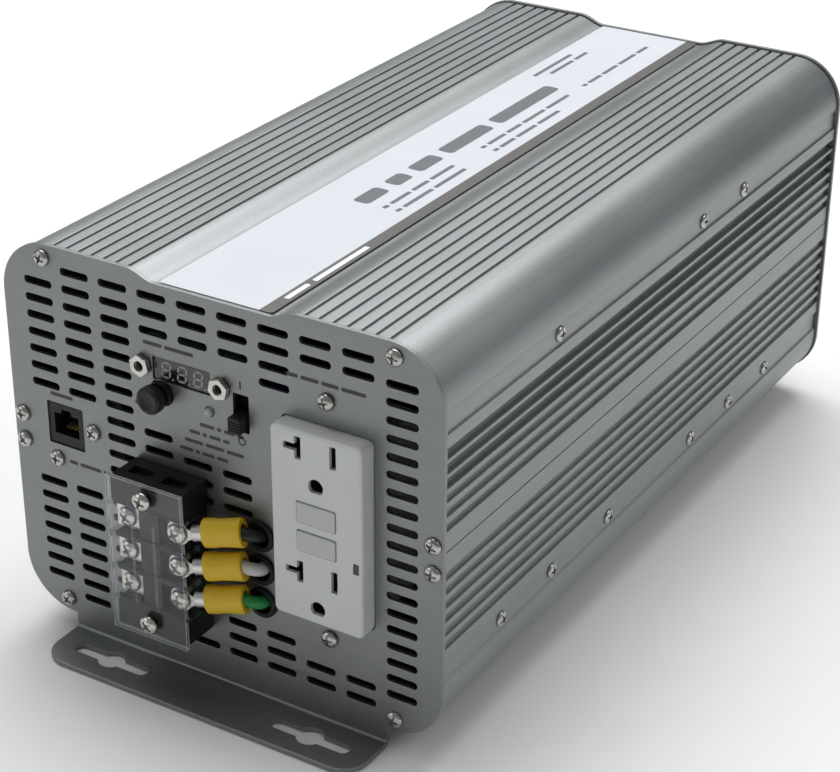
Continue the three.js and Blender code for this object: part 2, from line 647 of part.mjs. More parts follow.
const fanCentres = [-FAN_SPREAD / 2, FAN_SPREAD / 2];
const dcCentres = [-DC_SPREAD / 2, DC_SPREAD / 2];
const rearKeepOuts = [
  [-FAN_SPREAD / 2 - 33, FAN_SPREAD / 2 + 33, FAN_Z - FAN_SIZE / 2 - 4, FAN_Z + FAN_SIZE / 2 + 4],
  ...dcCentres.map((x) => [x - 16, x + 16, DC_Z - 16, DC_Z + 16]),
  [-8, 8, GROUND_Z - 8, GROUND_Z + 8],
];
add('rear_panel', atRear(cut(ventedPanel(rearKeepOuts), [
  ...fanCentres.map((x) => panelHole(FAN_BORE - 1, x, FAN_Z, 24)),
  ...fanCentres.flatMap((x) => fanScrews(x).map(([sx, sz]) => panelHole(FAN_SCREW_HOLE, sx, sz, 6))),
  ...dcCentres.map((x) => panelHole(DC_NECK_RADIUS + GAP, x, DC_Z, 16)),
  panelHole(GROUND_SHANK + GAP, 0, GROUND_Z, 8),
])), 'panelGrey');

function fanScrews(x) {
  const half = FAN_CORNER_HOLE / 2;
  return [-1, 1].flatMap((side) => [-1, 1].map((end) => [x + side * half, FAN_Z + end * half]));
}

// ---------------------------------------------------------------- duplex outlet

const OUTLET_FACE = FRONT - OUTLET_PROUD;
const socketRows = [1, -1].map((end) => OUTLET_Z + end * OUTLET_PITCH / 2 + GROUND_DROP / 2);
const socketBottom = OUTLET_FACE + SOCKET_DEPTH;

// Blade slots at height z, the neutral one with a T arm, and the ground hole under them.
function socketCuts(z) {
  const left = OUTLET_X - BLADE_SPREAD / 2;
  const right = OUTLET_X + BLADE_SPREAD / 2;
  const open = OUTLET_FACE - CUT;
  const { width, height } = BLADE_SLOT;
  return [
    slab(left, z, width, height, open, socketBottom),
    slab(left - T_SLOT_ARM / 2, z, T_SLOT_ARM, width, open, socketBottom),
    slab(right, z, width, height, open, socketBottom),
    rodAlongY(GROUND_RADIUS, OUTLET_X, z - GROUND_DROP, open, socketBottom, 12),
  ];
}

const buttonRows = [BUTTON_Z + BUTTON_SPREAD / 2, BUTTON_Z - BUTTON_SPREAD / 2];
const buttonPocket = OUTLET_FACE + BUTTON_DEPTH + BUTTON_TRAVEL + GAP;
const faceShape = roundedRectangle(OUTLET_X, OUTLET_Z, OUTLET_WIDTH, OUTLET_HEIGHT, OUTLET_CORNER);
add('outlet_face', cut(solid(plate(faceShape, OUTLET_FACE, PANEL_BACK, 3, OUTLET_BEVEL)), [
  ...socketRows.flatMap(socketCuts),
  ...buttonRows.map((z) => slab(
    OUTLET_X, z, BUTTON_WIDTH + 2 * GAP, BUTTON_HEIGHT + 2 * GAP, OUTLET_FACE - CUT, buttonPocket)),
  slab(OUTLET_X + INDICATOR.x, OUTLET_Z + INDICATOR.z, INDICATOR.width, INDICATOR.height,
    OUTLET_FACE - CUT, OUTLET_FACE + INDICATOR.depth),
]), 'outletWhite');

['reset_button', 'test_button'].forEach((name, k) => {
  add(name, slab(OUTLET_X, buttonRows[k], BUTTON_WIDTH, BUTTON_HEIGHT,
    OUTLET_FACE - BUTTON_PROUD, OUTLET_FACE + BUTTON_DEPTH), 'outletWhite');
});

const strapFront = PANEL_BACK + GAP;
const strapBack = strapFront + STRAP_THICKNESS;
const strapHoles = outletScrews.map((z) => (
  rodAlongY(SCREW_BORE + GAP, OUTLET_X, z, strapFront - CUT, strapBack + CUT, 8)));
add('outlet_strap', cut(slab(OUTLET_X, OUTLET_Z, OUTLET_WIDTH - 6,
  OUTLET_SCREW_SPREAD + 2 * STRAP_EAR, strapFront, strapBack), strapHoles), 'nickel');

const bodyFront = strapBack + GAP;
add('outlet_body', slab(OUTLET_X, OUTLET_Z, OUTLET_WIDTH - 2, OUTLET_HEIGHT - 4,
  bodyFront, bodyFront + OUTLET_BODY_DEPTH), 'outletWhite');

// A pan-head screw facing out of a panel: shank, then a head with a rounded rim.
function panScrew(x, z, { radius, height }, shankRadius, seat, shankEnd, sides = 16) {
  return turnedAlongY([
    [0, shankEnd],
    [shankRadius, shankEnd],
    [shankRadius, seat],
    [radius, seat],
    [radius, seat - height * 0.5],
    [radius * 0.7, seat - height],
    [0, seat - height],
  ], x, z, sides);
}

['outlet_screw_upper', 'outlet_screw_lower'].forEach((name, k) => {
  add(name, panScrew(OUTLET_X, outletScrews[k], PANEL_SCREW_HEAD, SCREW_BORE, FRONT - GAP,
    strapBack + 3), 'nickel');
});

// ---------------------------------------------------------------- controls

const displayBack = FRONT + DISPLAY_DEPTH;
add('display_module', slab(DISPLAY_X, DISPLAY_Z, DISPLAY_WIDTH, DISPLAY_HEIGHT,
  FRONT + DISPLAY_SINK, displayBack), 'darkWindow');
add('display_board', slab(DISPLAY_X, DISPLAY_Z, DISPLAY_NUT_SPREAD + 2 * DISPLAY_SHANK_RADIUS,
  DISPLAY_BOARD_HEIGHT, displayBack + GAP, displayBack + GAP + BOARD_THICKNESS), 'circuitBoard');

['display_nut_left', 'display_nut_right'].forEach((name, k) => {
  const x = sideNuts[k];
  const seat = FRONT - GAP;
  const hex = hexAlongY(NUT_FLATS, x, DISPLAY_Z, seat - NUT_PROUD, seat);
  const shank = rodAlongY(
    DISPLAY_SHANK_RADIUS, x, DISPLAY_Z, seat - NUT_PROUD / 2, displayBack, 10);
  const bore = rodAlongY(NUT_BORE, x, DISPLAY_Z, seat - NUT_PROUD - CUT, FRONT + 3, 10);
  add(name, cut(hex.add(shank), [bore]), 'nickel');
});

const collarFront = FRONT - GAP - COLLAR_PROUD;
const capBack = collarFront - FUNCTION_TRAVEL - GAP;
const stemEnd = FRONT + 2;
const stemBore = rodAlongY(FUNCTION_STEM_RADIUS + GAP, FUNCTION_X, FUNCTION_Z,
  collarFront - CUT, stemEnd + FUNCTION_TRAVEL + GAP, 16);
add('function_switch', cut(joined([
  rodAlongY(BUSHING_RADIUS, FUNCTION_X, FUNCTION_Z, collarFront, PANEL_BACK + 3, 16),
  slab(FUNCTION_X, FUNCTION_Z, FUNCTION_HOUSING.width, FUNCTION_HOUSING.height,
    PANEL_BACK + GAP, PANEL_BACK + FUNCTION_HOUSING.depth),
]), [stemBore]), 'blackPlastic');

const capFront = FRONT - FUNCTION_PROUD;
add('function_button', turnedAlongY([
  [0, stemEnd],
  [FUNCTION_STEM_RADIUS, stemEnd],
  [FUNCTION_STEM_RADIUS, capBack],
  [FUNCTION_CAP_RADIUS, capBack],
  [FUNCTION_CAP_RADIUS, capFront + 0.8],
  [FUNCTION_CAP_RADIUS - 0.9, capFront],
  [0, capFront],
], FUNCTION_X, FUNCTION_Z, 20), 'blackPlastic');

add('status_led', turnedAlongY([
  [0, PANEL_BACK + LED_DEPTH],
  [LED_RADIUS + LED_FLANGE, PANEL_BACK + LED_DEPTH],
  [LED_RADIUS + LED_FLANGE, PANEL_BACK + GAP],
  [LED_RADIUS, PANEL_BACK + GAP],
  [LED_RADIUS, FRONT - 0.6],
  [LED_RADIUS * 0.7, FRONT - 1.3],
  [0, FRONT - 1.6],
], LED_X, LED_Z, 12), 'clearPlastic');

const sliderRest = SWITCH_Z - SLIDER_TRAVEL / 2;
const sliderBack = PANEL_BACK + SWITCH_WELL;
add('power_switch_body', cut(
  slab(SWITCH_X, SWITCH_Z, SWITCH_WIDTH + 2 * SWITCH_HOUSING.side,
    SWITCH_HEIGHT + 2 * SWITCH_HOUSING.end, PANEL_BACK + GAP, PANEL_BACK + SWITCH_HOUSING.depth),
  [slab(SWITCH_X, SWITCH_Z, SWITCH_WIDTH, SWITCH_HEIGHT, FRONT, sliderBack + GAP)],
), 'blackPlastic');
add('power_switch_slider', slab(SWITCH_X, sliderRest, SLIDER_WIDTH, SLIDER_HEIGHT,
  FRONT - SLIDER_PROUD, sliderBack), 'blackPlastic');

const jackFront = FRONT + JACK_SINK;
const jackBody = slab(JACK_X, JACK_Z, JACK_WIDTH, JACK_HEIGHT, jackFront, FRONT + JACK_DEPTH);
add('remote_jack', cut(jackBody, [
  slab(JACK_X, JACK_Z, JACK_MOUTH.width, JACK_MOUTH.height,
    jackFront - CUT, jackFront + JACK_MOUTH.depth),
  slab(JACK_X, JACK_Z + JACK_MOUTH.height / 2, JACK_KEY.width, 2 * JACK_KEY.height,
    jackFront - CUT, jackFront + JACK_MOUTH.depth),
]), 'blackPlastic');

// ---------------------------------------------------------------- AC terminal block

const coverFront = FRONT - TERMINAL_PROUD;
const coverInner = coverFront + COVER_WALL;
const endFront = coverInner + GAP;
const baseFront = FRONT - TERMINAL_BASE;
const blockBack = FRONT - GAP;
const blockWidth = TERMINAL_WIDTH - 2 * COVER_OVERHANG;
const blockHeight = TERMINAL_HEIGHT - 2 * COVER_OVERHANG;
const railedWidth = TERMINAL_WIDTH - 2 * (COVER_WALL + GAP);
const endHeight = TERMINAL_END - COVER_OVERHANG;
const endSpread = blockHeight - endHeight;
const railHeight = blockHeight - 2 * (endHeight + GAP);
const columns = [-1, 1].map((side) => TERMINAL_X + side * TERMINAL_COLUMN_SPREAD / 2);
const screwColumn = columns[1];
const coverScrews = [1, -1].map((end) => TERMINAL_Z + end * endSpread / 2);
const coverBore = SCREW_BORE + GAP;
const shankHole = TERMINAL_SHANK + GAP;

// Two pockets sunk into the outer face of an end block.
function endPockets(end) {
  const z = TERMINAL_Z + end * blockHeight / 2;
  const y = (endFront + blockBack) / 2;
  return [-1, 1].map((side) => slab(TERMINAL_X + side * END_POCKET.spread / 2, z,
    END_POCKET.width, 2 * END_POCKET.depth, y - END_POCKET.length / 2, y + END_POCKET.length / 2));
}

const barriers = [];
for (let k = 0; k <= TERMINAL_COUNT; k += 1) {
  const z = TERMINAL_Z + (TERMINAL_COUNT / 2 - k) * TERMINAL_PITCH;
  barriers.push(slab(TERMINAL_X, z, railedWidth, BARRIER_WIDTH, FRONT - BARRIER_DEPTH, baseFront + CUT));
}
const spineHeight = TERMINAL_COUNT * TERMINAL_PITCH;
add('terminal_block', cut(joined([
  slab(TERMINAL_X, TERMINAL_Z, railedWidth, blockHeight, baseFront, blockBack),
  slab(TERMINAL_X, TERMINAL_Z, SPINE.width, spineHeight, FRONT - SPINE.depth, baseFront + CUT),
  ...barriers,
  ...coverScrews.map((z) => slab(TERMINAL_X, z, blockWidth, endHeight, endFront, blockBack)),
]), [
  ...[1, -1].flatMap(endPockets),
  ...coverScrews.map((z) => rodAlongY(coverBore, TERMINAL_X, z, coverFront, baseFront + 2, 8)),
  ...columns.flatMap((x) => terminalRows.map((z) => (
    rodAlongY(shankHole, x, z, baseFront - CUT, baseFront + TERMINAL_BORE, 8)))),
]), 'blackPlastic');

// The cover is a clear plate; a rail down each side is notched at every terminal.
const notches = terminalRows.map((z) => slab(
  TERMINAL_X, z, 2 * TERMINAL_WIDTH, NOTCH_HEIGHT, coverInner, blockBack + CUT));
const railed = slab(TERMINAL_X, TERMINAL_Z, TERMINAL_WIDTH, railHeight,
  coverFront, coverFront + COVER_RAIL);
const rails = cut(railed, [
  slab(TERMINAL_X, TERMINAL_Z, TERMINAL_WIDTH - 2 * COVER_WALL, railHeight + CUT,
    coverInner, blockBack + CUT),
  ...notches,
]);
const coverPlate = slab(
  TERMINAL_X, TERMINAL_Z, TERMINAL_WIDTH, TERMINAL_HEIGHT, coverFront, coverInner);
add('terminal_cover', cut(coverPlate.add(rails), coverScrews.map((z) => (
  rodAlongY(coverBore, TERMINAL_X, z, coverFront - CUT, coverInner + CUT, 8)))), 'clearPlastic');

['cover_screw_upper', 'cover_screw_lower'].forEach((name, k) => {
  add(name, panScrew(TERMINAL_X, coverScrews[k], COVER_SCREW_HEAD, SCREW_BORE,
    coverFront - GAP, baseFront + 1), 'nickel');
});

// Each lug lies flat under its screw; its barrel leans back towards the panel and rises. Barrels
// and sleeves are flattened: tall across the panel and thinner away from it.
const ringBack = baseFront - GAP;
const ringFront = ringBack - LUG_THICKNESS;
const lean = THREE.MathUtils.degToRad(LUG_LEAN);
const rise = THREE.MathUtils.degToRad(LUG_RISE);
const lugDirection = new THREE.Vector3(
  Math.cos(lean) * Math.cos(rise), Math.sin(lean) * Math.cos(rise), Math.sin(rise));
const lugTall = new THREE.Vector3(0, 0, 1).projectOnPlane(lugDirection).normalize();
const lugThick = lugTall.clone().cross(lugDirection);
const lugFrame = new THREE.Matrix4().makeBasis(lugTall, lugDirection, lugThick);

function lugPoint(z, along) {
  const start = new THREE.Vector3(screwColumn, ringFront, CENTRE_Z + z);
  return start.addScaledVector(lugDirection, along);
}

function rodAlongLug({ tall, thick, start, length }, z, sides) {
  const geometry = new THREE.CylinderGeometry(1, 1, length, sides);
  geometry.scale(tall, 1, thick);
  geometry.applyMatrix4(lugFrame);
  const middle = lugPoint(z, start + length / 2);
  geometry.translate(middle.x, middle.y, middle.z);
  return solid(geometry);
}

const wireFinishes = ['blackVinyl', 'whiteVinyl', 'greenVinyl'];
const sleeveEnd = SLEEVE.start + SLEEVE.length;
const sleeveBore = {
  start: SLEEVE.start - CUT,
  length: SLEEVE.length + 2 * CUT,
  tall: SLEEVE.tall - SLEEVE_WALL,
  thick: SLEEVE.thick - SLEEVE_WALL,
};
const boardTop = CENTRE_Z + BOARD_Z + BOARD_THICKNESS;

// From a barrel's end out of the sleeve, through the grommet, inwards and down to the board.
function wireRoute(z, k) {
  const x = GROMMET_X + WIRE_SHIFT.x;
  const height = CENTRE_Z + z + GROMMET_RISE + WIRE_SHIFT.z;
  const dropY = PANEL_BACK + WIRE_ENTRY + (TERMINAL_COUNT - k) * WIRE_BEND;
  const start = lugPoint(z, BARREL.start + BARREL.length + GAP);
  const leave = lugPoint(z, sleeveEnd - CUT);
  const corner = lugPoint(z, sleeveEnd + 2 * WIRE_RADIUS);
  corner.x = x;
  corner.z = (leave.z + height) / 2;
  const mouth = new THREE.Vector3(x, FRONT - GROMMET_PROUD, height);
  const inside = new THREE.Vector3(x, dropY - WIRE_BEND, height);
  const below = new THREE.Vector3(x, dropY, height - WIRE_BEND);
  const turn = new THREE.Vector3(x, dropY, height);
  const end = new THREE.Vector3(x, dropY, boardTop + GAP);
  const curve = new THREE.CurvePath();
  curve.add(new THREE.LineCurve3(start, leave));
  curve.add(new THREE.QuadraticBezierCurve3(leave, corner, mouth));
  curve.add(new THREE.LineCurve3(mouth, inside));
  curve.add(new THREE.QuadraticBezierCurve3(inside, turn, below));
  curve.add(new THREE.LineCurve3(below, end));
  return curve;
}

function wire(z, k) {
  const section = new THREE.Shape();
  const sides = 6;
  for (let i = 0; i < sides; i += 1) {
    const angle = (i / sides) * 2 * Math.PI;
    const [x, y] = [WIRE_RADIUS * Math.cos(angle), WIRE_RADIUS * Math.sin(angle)];
    if (i === 0) section.moveTo(x, y);
    else section.lineTo(x, y);
  }
  return new THREE.ExtrudeGeometry(section, { steps: 30, extrudePath: wireRoute(z, k) });
}

function lug(z) {
  const ring = rodAlongY(LUG_RING_RADIUS, screwColumn, z, ringFront, ringBack, 16);
  const neck = block([screwColumn + LUG_RING_RADIUS / 2, screwColumn + BARREL.start + 1],
    [ringFront, ringBack], [z - LUG_NECK_HEIGHT / 2, z + LUG_NECK_HEIGHT / 2]);
  const hole = rodAlongY(shankHole, screwColumn, z, ringFront - CUT, ringBack + CUT, 8);
  return cut(joined([ring, neck, rodAlongLug(BARREL, z, 12)]), [hole]);
}

function grommet(x, z) {
  const seat = FRONT - GAP;
  const back = PANEL_BACK + GAP;
  return cut(turnedAlongY([
    [0, back + GROMMET_BACK],
    [GROMMET_RADIUS, back + GROMMET_BACK],
    [GROMMET_RADIUS, back],
    [GROMMET_NECK, back],
    [GROMMET_NECK, seat],
    [GROMMET_RADIUS, seat],
    [GROMMET_RADIUS - 0.6, seat - GROMMET_PROUD],
    [0, seat - GROMMET_PROUD],
  ], x, z, 16), [
    rodAlongY(GROMMET_BORE, x, z, seat - GROMMET_PROUD - CUT, back + GROMMET_BACK + CUT, 12),
  ]);
}

terminalRows.forEach((z, k) => {
  const number = k + 1;
  add(`terminal_screw_${number}`, panScrew(screwColumn, z, TERMINAL_SCREW_HEAD, TERMINAL_SHANK,
    ringFront - GAP, baseFront + TERMINAL_BORE - CUT, 14), 'nickel');
  add(`lug_${number}`, lug(z), 'nickel');
  add(`lug_sleeve_${number}`, cut(rodAlongLug(SLEEVE, z, 20), [rodAlongLug(sleeveBore, z, 20)]),
    'yellowVinyl');
  add(`ac_wire_${number}`, solid(wire(z, k)), wireFinishes[k]);
  add(`grommet_${number}`, grommet(GROMMET_X, grommetRows[k]), 'rubber');
});

// ---------------------------------------------------------------- fans and DC terminals at the rear

const fanFront = PANEL_BACK + GAP;              // outlet side of a fan, drawn at the front
const fanBack = fanFront + FAN_DEPTH;

function fanFrame(x) {
  const outline = roundedRectangle(x, FAN_Z, FAN_SIZE, FAN_SIZE, 3);
  const airway = rodAlongY(FAN_BORE, x, FAN_Z, fanFront - CUT, fanBack + CUT, 32);
  const screws = fanScrews(x).map(([sx, sz]) => (
    rodAlongY(FAN_SCREW_HOLE, sx, sz, fanFront - CUT, fanBack + CUT, 6)));
  const ring = cut(solid(plate(outline, fanFront, fanBack, 2)), [airway, ...screws]);
  const motor = rodAlongY(FAN_HUB, x, FAN_Z, fanBack - MOTOR_DEPTH, fanBack, 20);
  const reach = 2 * FAN_BORE + 2;
  const spokes = [
    slab(x, FAN_Z, reach, SPOKE_WIDTH, fanBack - MOTOR_DEPTH, fanBack),
    slab(x, FAN_Z, SPOKE_WIDTH, reach, fanBack - MOTOR_DEPTH, fanBack),
  ];
  return joined([ring, motor, ...spokes]);
}

function fanRotor(x) {
  const front = fanFront + 1.5;
  const back = fanBack - MOTOR_DEPTH - 2 * GAP;
  const tip = FAN_BORE - BLADE_CLEARANCE;
  const root = FAN_HUB - 2;
  const bladeLength = tip - root;
  const parts = [rodAlongY(FAN_HUB, x, FAN_Z, front, back, 20)];
  for (let k = 0; k < BLADE_COUNT; k += 1) {
    const blade = new THREE.BoxGeometry(BLADE_THICKNESS, back - front + CUT, bladeLength);
    blade.rotateZ(THREE.MathUtils.degToRad(BLADE_PITCH));
    blade.translate(0, 0, root + bladeLength / 2);
    blade.rotateY((k / BLADE_COUNT) * 2 * Math.PI);
    blade.translate(x, (front + back) / 2, CENTRE_Z + FAN_Z);
    parts.push(solid(blade));
  }
  return joined(parts).intersect(rodAlongY(tip, x, FAN_Z, front, back, 32));
}

function fanGuard(x) {
  const y = FRONT - GAP - GUARD_WIRE / 2;
  const parts = [];
  for (const radius of GUARD_RINGS) {
    const ring = new THREE.TorusGeometry(radius, GUARD_WIRE / 2, 4, 16);
    ring.rotateX(Math.PI / 2);
    ring.translate(x, y, CENTRE_Z + FAN_Z);
    parts.push(solid(ring));
  }
  const diagonal = FAN_CORNER_HOLE * Math.SQRT2;
  for (const turn of [45, 135]) {
    const bar = new THREE.BoxGeometry(diagonal, GUARD_WIRE * 0.8, GUARD_WIRE * 0.8);
    bar.rotateY(THREE.MathUtils.degToRad(turn));
    bar.translate(x, y, CENTRE_Z + FAN_Z);
    parts.push(solid(bar));
  }
  for (const [sx, sz] of fanScrews(x)) {
    parts.push(rodAlongY(GUARD_EYE_RADIUS, sx, sz, y - GUARD_WIRE / 2, y + GUARD_WIRE / 2, 8));
  }
  return joined(parts);
}

['right', 'left'].forEach((side, k) => {
  const x = fanCentres[k];
  add(`fan_frame_${side}`, atRear(fanFrame(x)), 'blackPlastic');
  add(`fan_rotor_${side}`, atRear(fanRotor(x)), 'blackPlastic');
  add(`fan_guard_${side}`, atRear(fanGuard(x)), 'nickel');
});

const dcSeat = FRONT - GAP;
const bushFront = dcSeat - DC_BASE_PROUD;
const bushBack = PANEL_BACK + DC_NECK_DEPTH;
const nutSeat = bushFront - GAP;

['negative', 'positive'].forEach((pole, k) => {
  const x = dcCentres[k];
  const bore = rodAlongY(
    DC_STUD_RADIUS + GAP, x, DC_Z, nutSeat - DC_NUT_HEIGHT - CUT, bushBack + CUT, 12);
  const bush = turnedAlongY([
    [0, bushBack],
    [DC_NECK_RADIUS, bushBack],
    [DC_NECK_RADIUS, dcSeat],
    [DC_BASE_RADIUS, dcSeat],
    [DC_BASE_RADIUS, bushFront + 1],
    [DC_BASE_RADIUS - 1, bushFront],
    [0, bushFront],
  ], x, DC_Z, 24);
  const nut = hexAlongY(DC_NUT_FLATS, x, DC_Z, nutSeat - DC_NUT_HEIGHT, nutSeat);
  const stud = rodAlongY(
    DC_STUD_RADIUS, x, DC_Z, FRONT - DC_STUD_PROUD, PANEL_BACK + DC_STUD_DEPTH, 16);
  const plastic = pole === 'positive' ? 'redPlastic' : 'blackPlastic';
  add(`dc_bush_${pole}`, atRear(cut(bush, [bore])), plastic);
  add(`dc_stud_${pole}`, atRear(stud), 'brass');
  add(`dc_nut_${pole}`, atRear(cut(nut, [bore])), 'nickel');
});

add('ground_screw', atRear(panScrew(0, GROUND_Z, GROUND_HEAD, GROUND_SHANK, FRONT - GAP,
  PANEL_BACK + 5, 12)), 'brass');

// ---------------------------------------------------------------- electronics inside

const innerHalf = HALF_WIDTH - WALL;
const boardHalf = innerHalf - BOARD_MARGIN;
const fanInner = BODY_LENGTH / 2 - PANEL_THICKNESS - GAP - FAN_DEPTH;
const boardEnds = [PANEL_BACK + BOARD_FRONT, fanInner - 4];
const onBoard = BOARD_Z + BOARD_THICKNESS + GAP;
add('main_board', block([-boardHalf, boardHalf], boardEnds, [BOARD_Z, BOARD_Z + BOARD_THICKNESS]),
  'circuitBoard');

['left', 'right'].forEach((side, k) => {
  const sign = k === 0 ? -1 : 1;
  const outside = innerHalf - GAP;
  const barX = sign * (outside - HEAT_BAR_THICKNESS / 2);
  add(`heat_bar_${side}`, slab(barX, onBoard + HEAT_BAR_HEIGHT / 2, HEAT_BAR_THICKNESS,
    HEAT_BAR_HEIGHT, boardEnds[0] + 30, boardEnds[1] - 6), 'anodised');
  const { width, length, height, y, apart } = TRANSFORMER;
  const x = sign * (width + apart) / 2;
  const z = onBoard + height / 2;
  const core = slab(x, z, width, height, y - length / 4, y + length / 4);
  const winding = slab(x, z, width * 0.6, height * 0.7, y - length / 2, y + length / 2);
  add(`transformer_${side}`, core.add(winding), 'ferrite');
});

const capacitor = new THREE.CylinderGeometry(CAPACITOR_RADIUS, CAPACITOR_RADIUS, CAPACITOR_HEIGHT, 20);
capacitor.rotateX(Math.PI / 2);
capacitor.translate(CAPACITOR.x, CAPACITOR.y, CENTRE_Z + onBoard + CAPACITOR_HEIGHT / 2);
add('bus_capacitor', solid(capacitor), 'sleeveBlue');

export default inverter;
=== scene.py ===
"""Looks of a power inverter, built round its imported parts.

Shapes are drawn in millimetres in the frame of the face that they stand on: x to the right and y up
as seen facing it, z out of it. A placement matrix then turns them into the part's frame.
"""
import random
from math import atan2, cos, pi, radians, sin, sqrt

import bmesh
import bpy
from mathutils import Matrix, Quaternion, Vector


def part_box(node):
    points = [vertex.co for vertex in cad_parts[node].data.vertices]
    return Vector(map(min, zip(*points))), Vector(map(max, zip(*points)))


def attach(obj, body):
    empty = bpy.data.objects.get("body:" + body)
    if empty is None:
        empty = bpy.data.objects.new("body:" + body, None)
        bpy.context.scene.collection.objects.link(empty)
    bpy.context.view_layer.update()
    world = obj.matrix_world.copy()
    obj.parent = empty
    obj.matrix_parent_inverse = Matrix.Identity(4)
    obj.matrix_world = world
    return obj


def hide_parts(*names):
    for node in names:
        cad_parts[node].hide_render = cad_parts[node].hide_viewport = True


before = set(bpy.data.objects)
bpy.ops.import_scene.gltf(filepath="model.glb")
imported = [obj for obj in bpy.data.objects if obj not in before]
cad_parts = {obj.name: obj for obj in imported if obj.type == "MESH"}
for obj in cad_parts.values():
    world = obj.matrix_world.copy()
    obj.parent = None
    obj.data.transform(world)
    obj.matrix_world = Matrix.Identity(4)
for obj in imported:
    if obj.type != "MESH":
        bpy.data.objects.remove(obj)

MM = 0.001
SHARP = radians(38)        # an edge that bends by more than this is drawn sharp
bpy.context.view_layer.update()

# ---- sizes, in millimetres

CENTRE = 74.5                   # middle of both end panels above the feet's underside
FRONT = 149.0                   # outer face of either panel from the middle of the body
SHEET = 1.5                     # panel thickness
PANEL_WIDTH = 164.0
PANEL_HEIGHT = 135.4
PANEL_CORNER = 19.0
RECESS_HALF = 21.3
STRIPE_EDGE = 16.3              # where the label's dark stripe begins
SHOULDER_OUTER = 31.7
RECESS_DEPTH = 3.0
FOOT_WIDTH = 124.0
FOOT_REACH = 20.0
FOOT_CORNER = 9.0
BEND_INNER = 1.0
BEND_NEUTRAL = 1.75
CREASE = SHEET + BEND_INNER - CENTRE            # where the foot's fold begins
FOLD = BEND_NEUTRAL * pi / 2
FOLD_STEPS = 8
FOOT_SLOTS = (-39.7, 39.7)
FOOT_SLOT = (29.5, 2.3, 4.5)    # length, end radius, radius of its eye

HOUSING_END = 147.2
HALF_WIDTH = 81.2
HALF_HEIGHT = 66.9
HOUSING_CORNER = 18.2
WALL = 3.8
SPLIT = 1.4
SIDE_GROOVES = [8.5 + 4.95 * k for k in range(6)]
SCREW_BAND = (39.5, 47.1)       # from the parting line
BAND_DEPTH = 0.8
TOP_GROOVES = [62 - 4.9 * k for k in range(7)]
SHALLOW_GROOVE = (3.0, 1.4)     # width and depth
DEEP_GROOVE = (3.7, 2.2)
GROOVE_LEAN = 0.15              # how far each wall of a side groove leans in
TOP_GROOVE = (0.6, 0.5, 1.0)    # half its mouth, half its floor, depth
PARTING = 0.15                  # half the gap at the parting line

VENT = (11.0, 2.6)
VENT_PITCH = (15.0, 6.0)
VENT_GRID = (10, 21)            # columns and rows that a vent may stand in
SEAT = 0.02                     # screws stand this far off their face
CORNER_SCREWS = [(x, y) for x in (-65, 65) for y in (-62.9, 62.9)]
SIDE_SCREWS = [(x, y) for x in (78.3, -78.3) for y in (4.4, -5.2)]
JACK_SCREWS = [(-64.9, -8.6), (-49.0, 5.4)]
UPPER_BAND_SCREWS = (-77.4, 27.6, 61.7)
LOWER_BAND_SCREWS = (-110.5, -77.0, -36.4, 29.2, 62.6, 96.3)

OUTLET = (41.3, 0.3)
OUTLET_SIZE = (32.6, 66.0)
OUTLET_PROUD = 6.6
SOCKETS = (27.7, -15.4)
OUTLET_SCREWS = (41.95, -41.35)
# deeper than this below the outlet's face, painted shade darkens its slots and wells
OUTLET_WELL = 1.3               # how far its light reaches into a slot
OUTLET_GAP = 0.3
OUTLET_EDGE = (14.5, 31.0)      # where its rounded rim begins, from its middle
BLADE = (2.3, 7.6)
BLADE_SPREAD = 6.25             # from a socket's middle to its blades
GROUND_DROP = 11.7
BUTTONS = {"reset_button": 5.9, "test_button": -4.1}
BUTTON_SIZE = (13.8, 7.0)
BUTTON_PROUD = 0.5
LAMP = (55.4, -8.0)
DISPLAY = (-12.3, 35.9)
DISPLAY_SIZE = (21.4, 7.4)
DIGIT_PITCH = 6.1
DISPLAY_NUTS = (-27.3, 2.7)
NUT_RADIUS = 3.81               # to a corner
FUNCTION = (-20.2, 27.8)
LED = (-2.0, 26.3)
SWITCH = (10.0, 29.1)
SWITCH_HOLE = (5.8, 12.8)
JACK = (-60.5, 4.4)
JACK_HOLE = (14.6, 15.3)
TERMINAL = (-17.8, -25.4)
TERMINAL_ROWS = (-13.2, -25.4, -37.6)
TERMINAL_COLUMNS = (-27.6, -8.0)
COVER_SCREWS = (-2.55, -48.25)
COVER_PROUD = 15.4
COVER_RIBS = (-22.6, -14.2)
TERMINAL_BASE = 10.0            # front of the base that the terminals stand on
WASHER = 0.3
COVER_EDGE = (14.3, 27.8)       # where the cover's edges begin, from its middle
GROMMET_X = 15.9
GROMMET_RISE = 1.0
WIRE_X = 16.9
WIRE_RISE = 1.8
WIRE_RADIUS = 2.1
WIRE_BEND = 8.0                 # also the step between the wires behind the panel
WIRE_RUN = 12.0
BOARD_TOP = -46.4
LUG_LEAN = radians(14.75)
LUG_RISE = radians(10.4)
LUG_FLATTENING = 0.73
SLEEVE_FLATTENING = 0.78
RING = (10.3, 11.1)             # back and front of a lug's flat ring
FANS = (-35.0, 35.0)
FAN_HEIGHT = 22.0
FAN_HOLES = 25.0                # from a fan's middle to its screws
FAN_BLADES = 7
GUARD_RINGS = (8, 13, 18, 23, 26)
GUARD_HEIGHT = 0.95
ROTOR_FRONT, ROTOR_BACK = -3.3, -17.9
DC_TERMINALS = (-42.0, 42.0)
DC_HEIGHT = -38.0
GROUND_SCREW = (0.0, -50.0)
TAPE = (55.0, 12.0)             # middle and half width of the transformers' tape

# ---- placements

def facing(right, up, origin):
    """The matrix from a face's own frame to the part's, still in millimetres."""
    right, up = Vector(right), Vector(up)
    out = right.cross(up)
    return Matrix.Translation(origin) @ Matrix((right, up, out)).transposed().to_4x4()


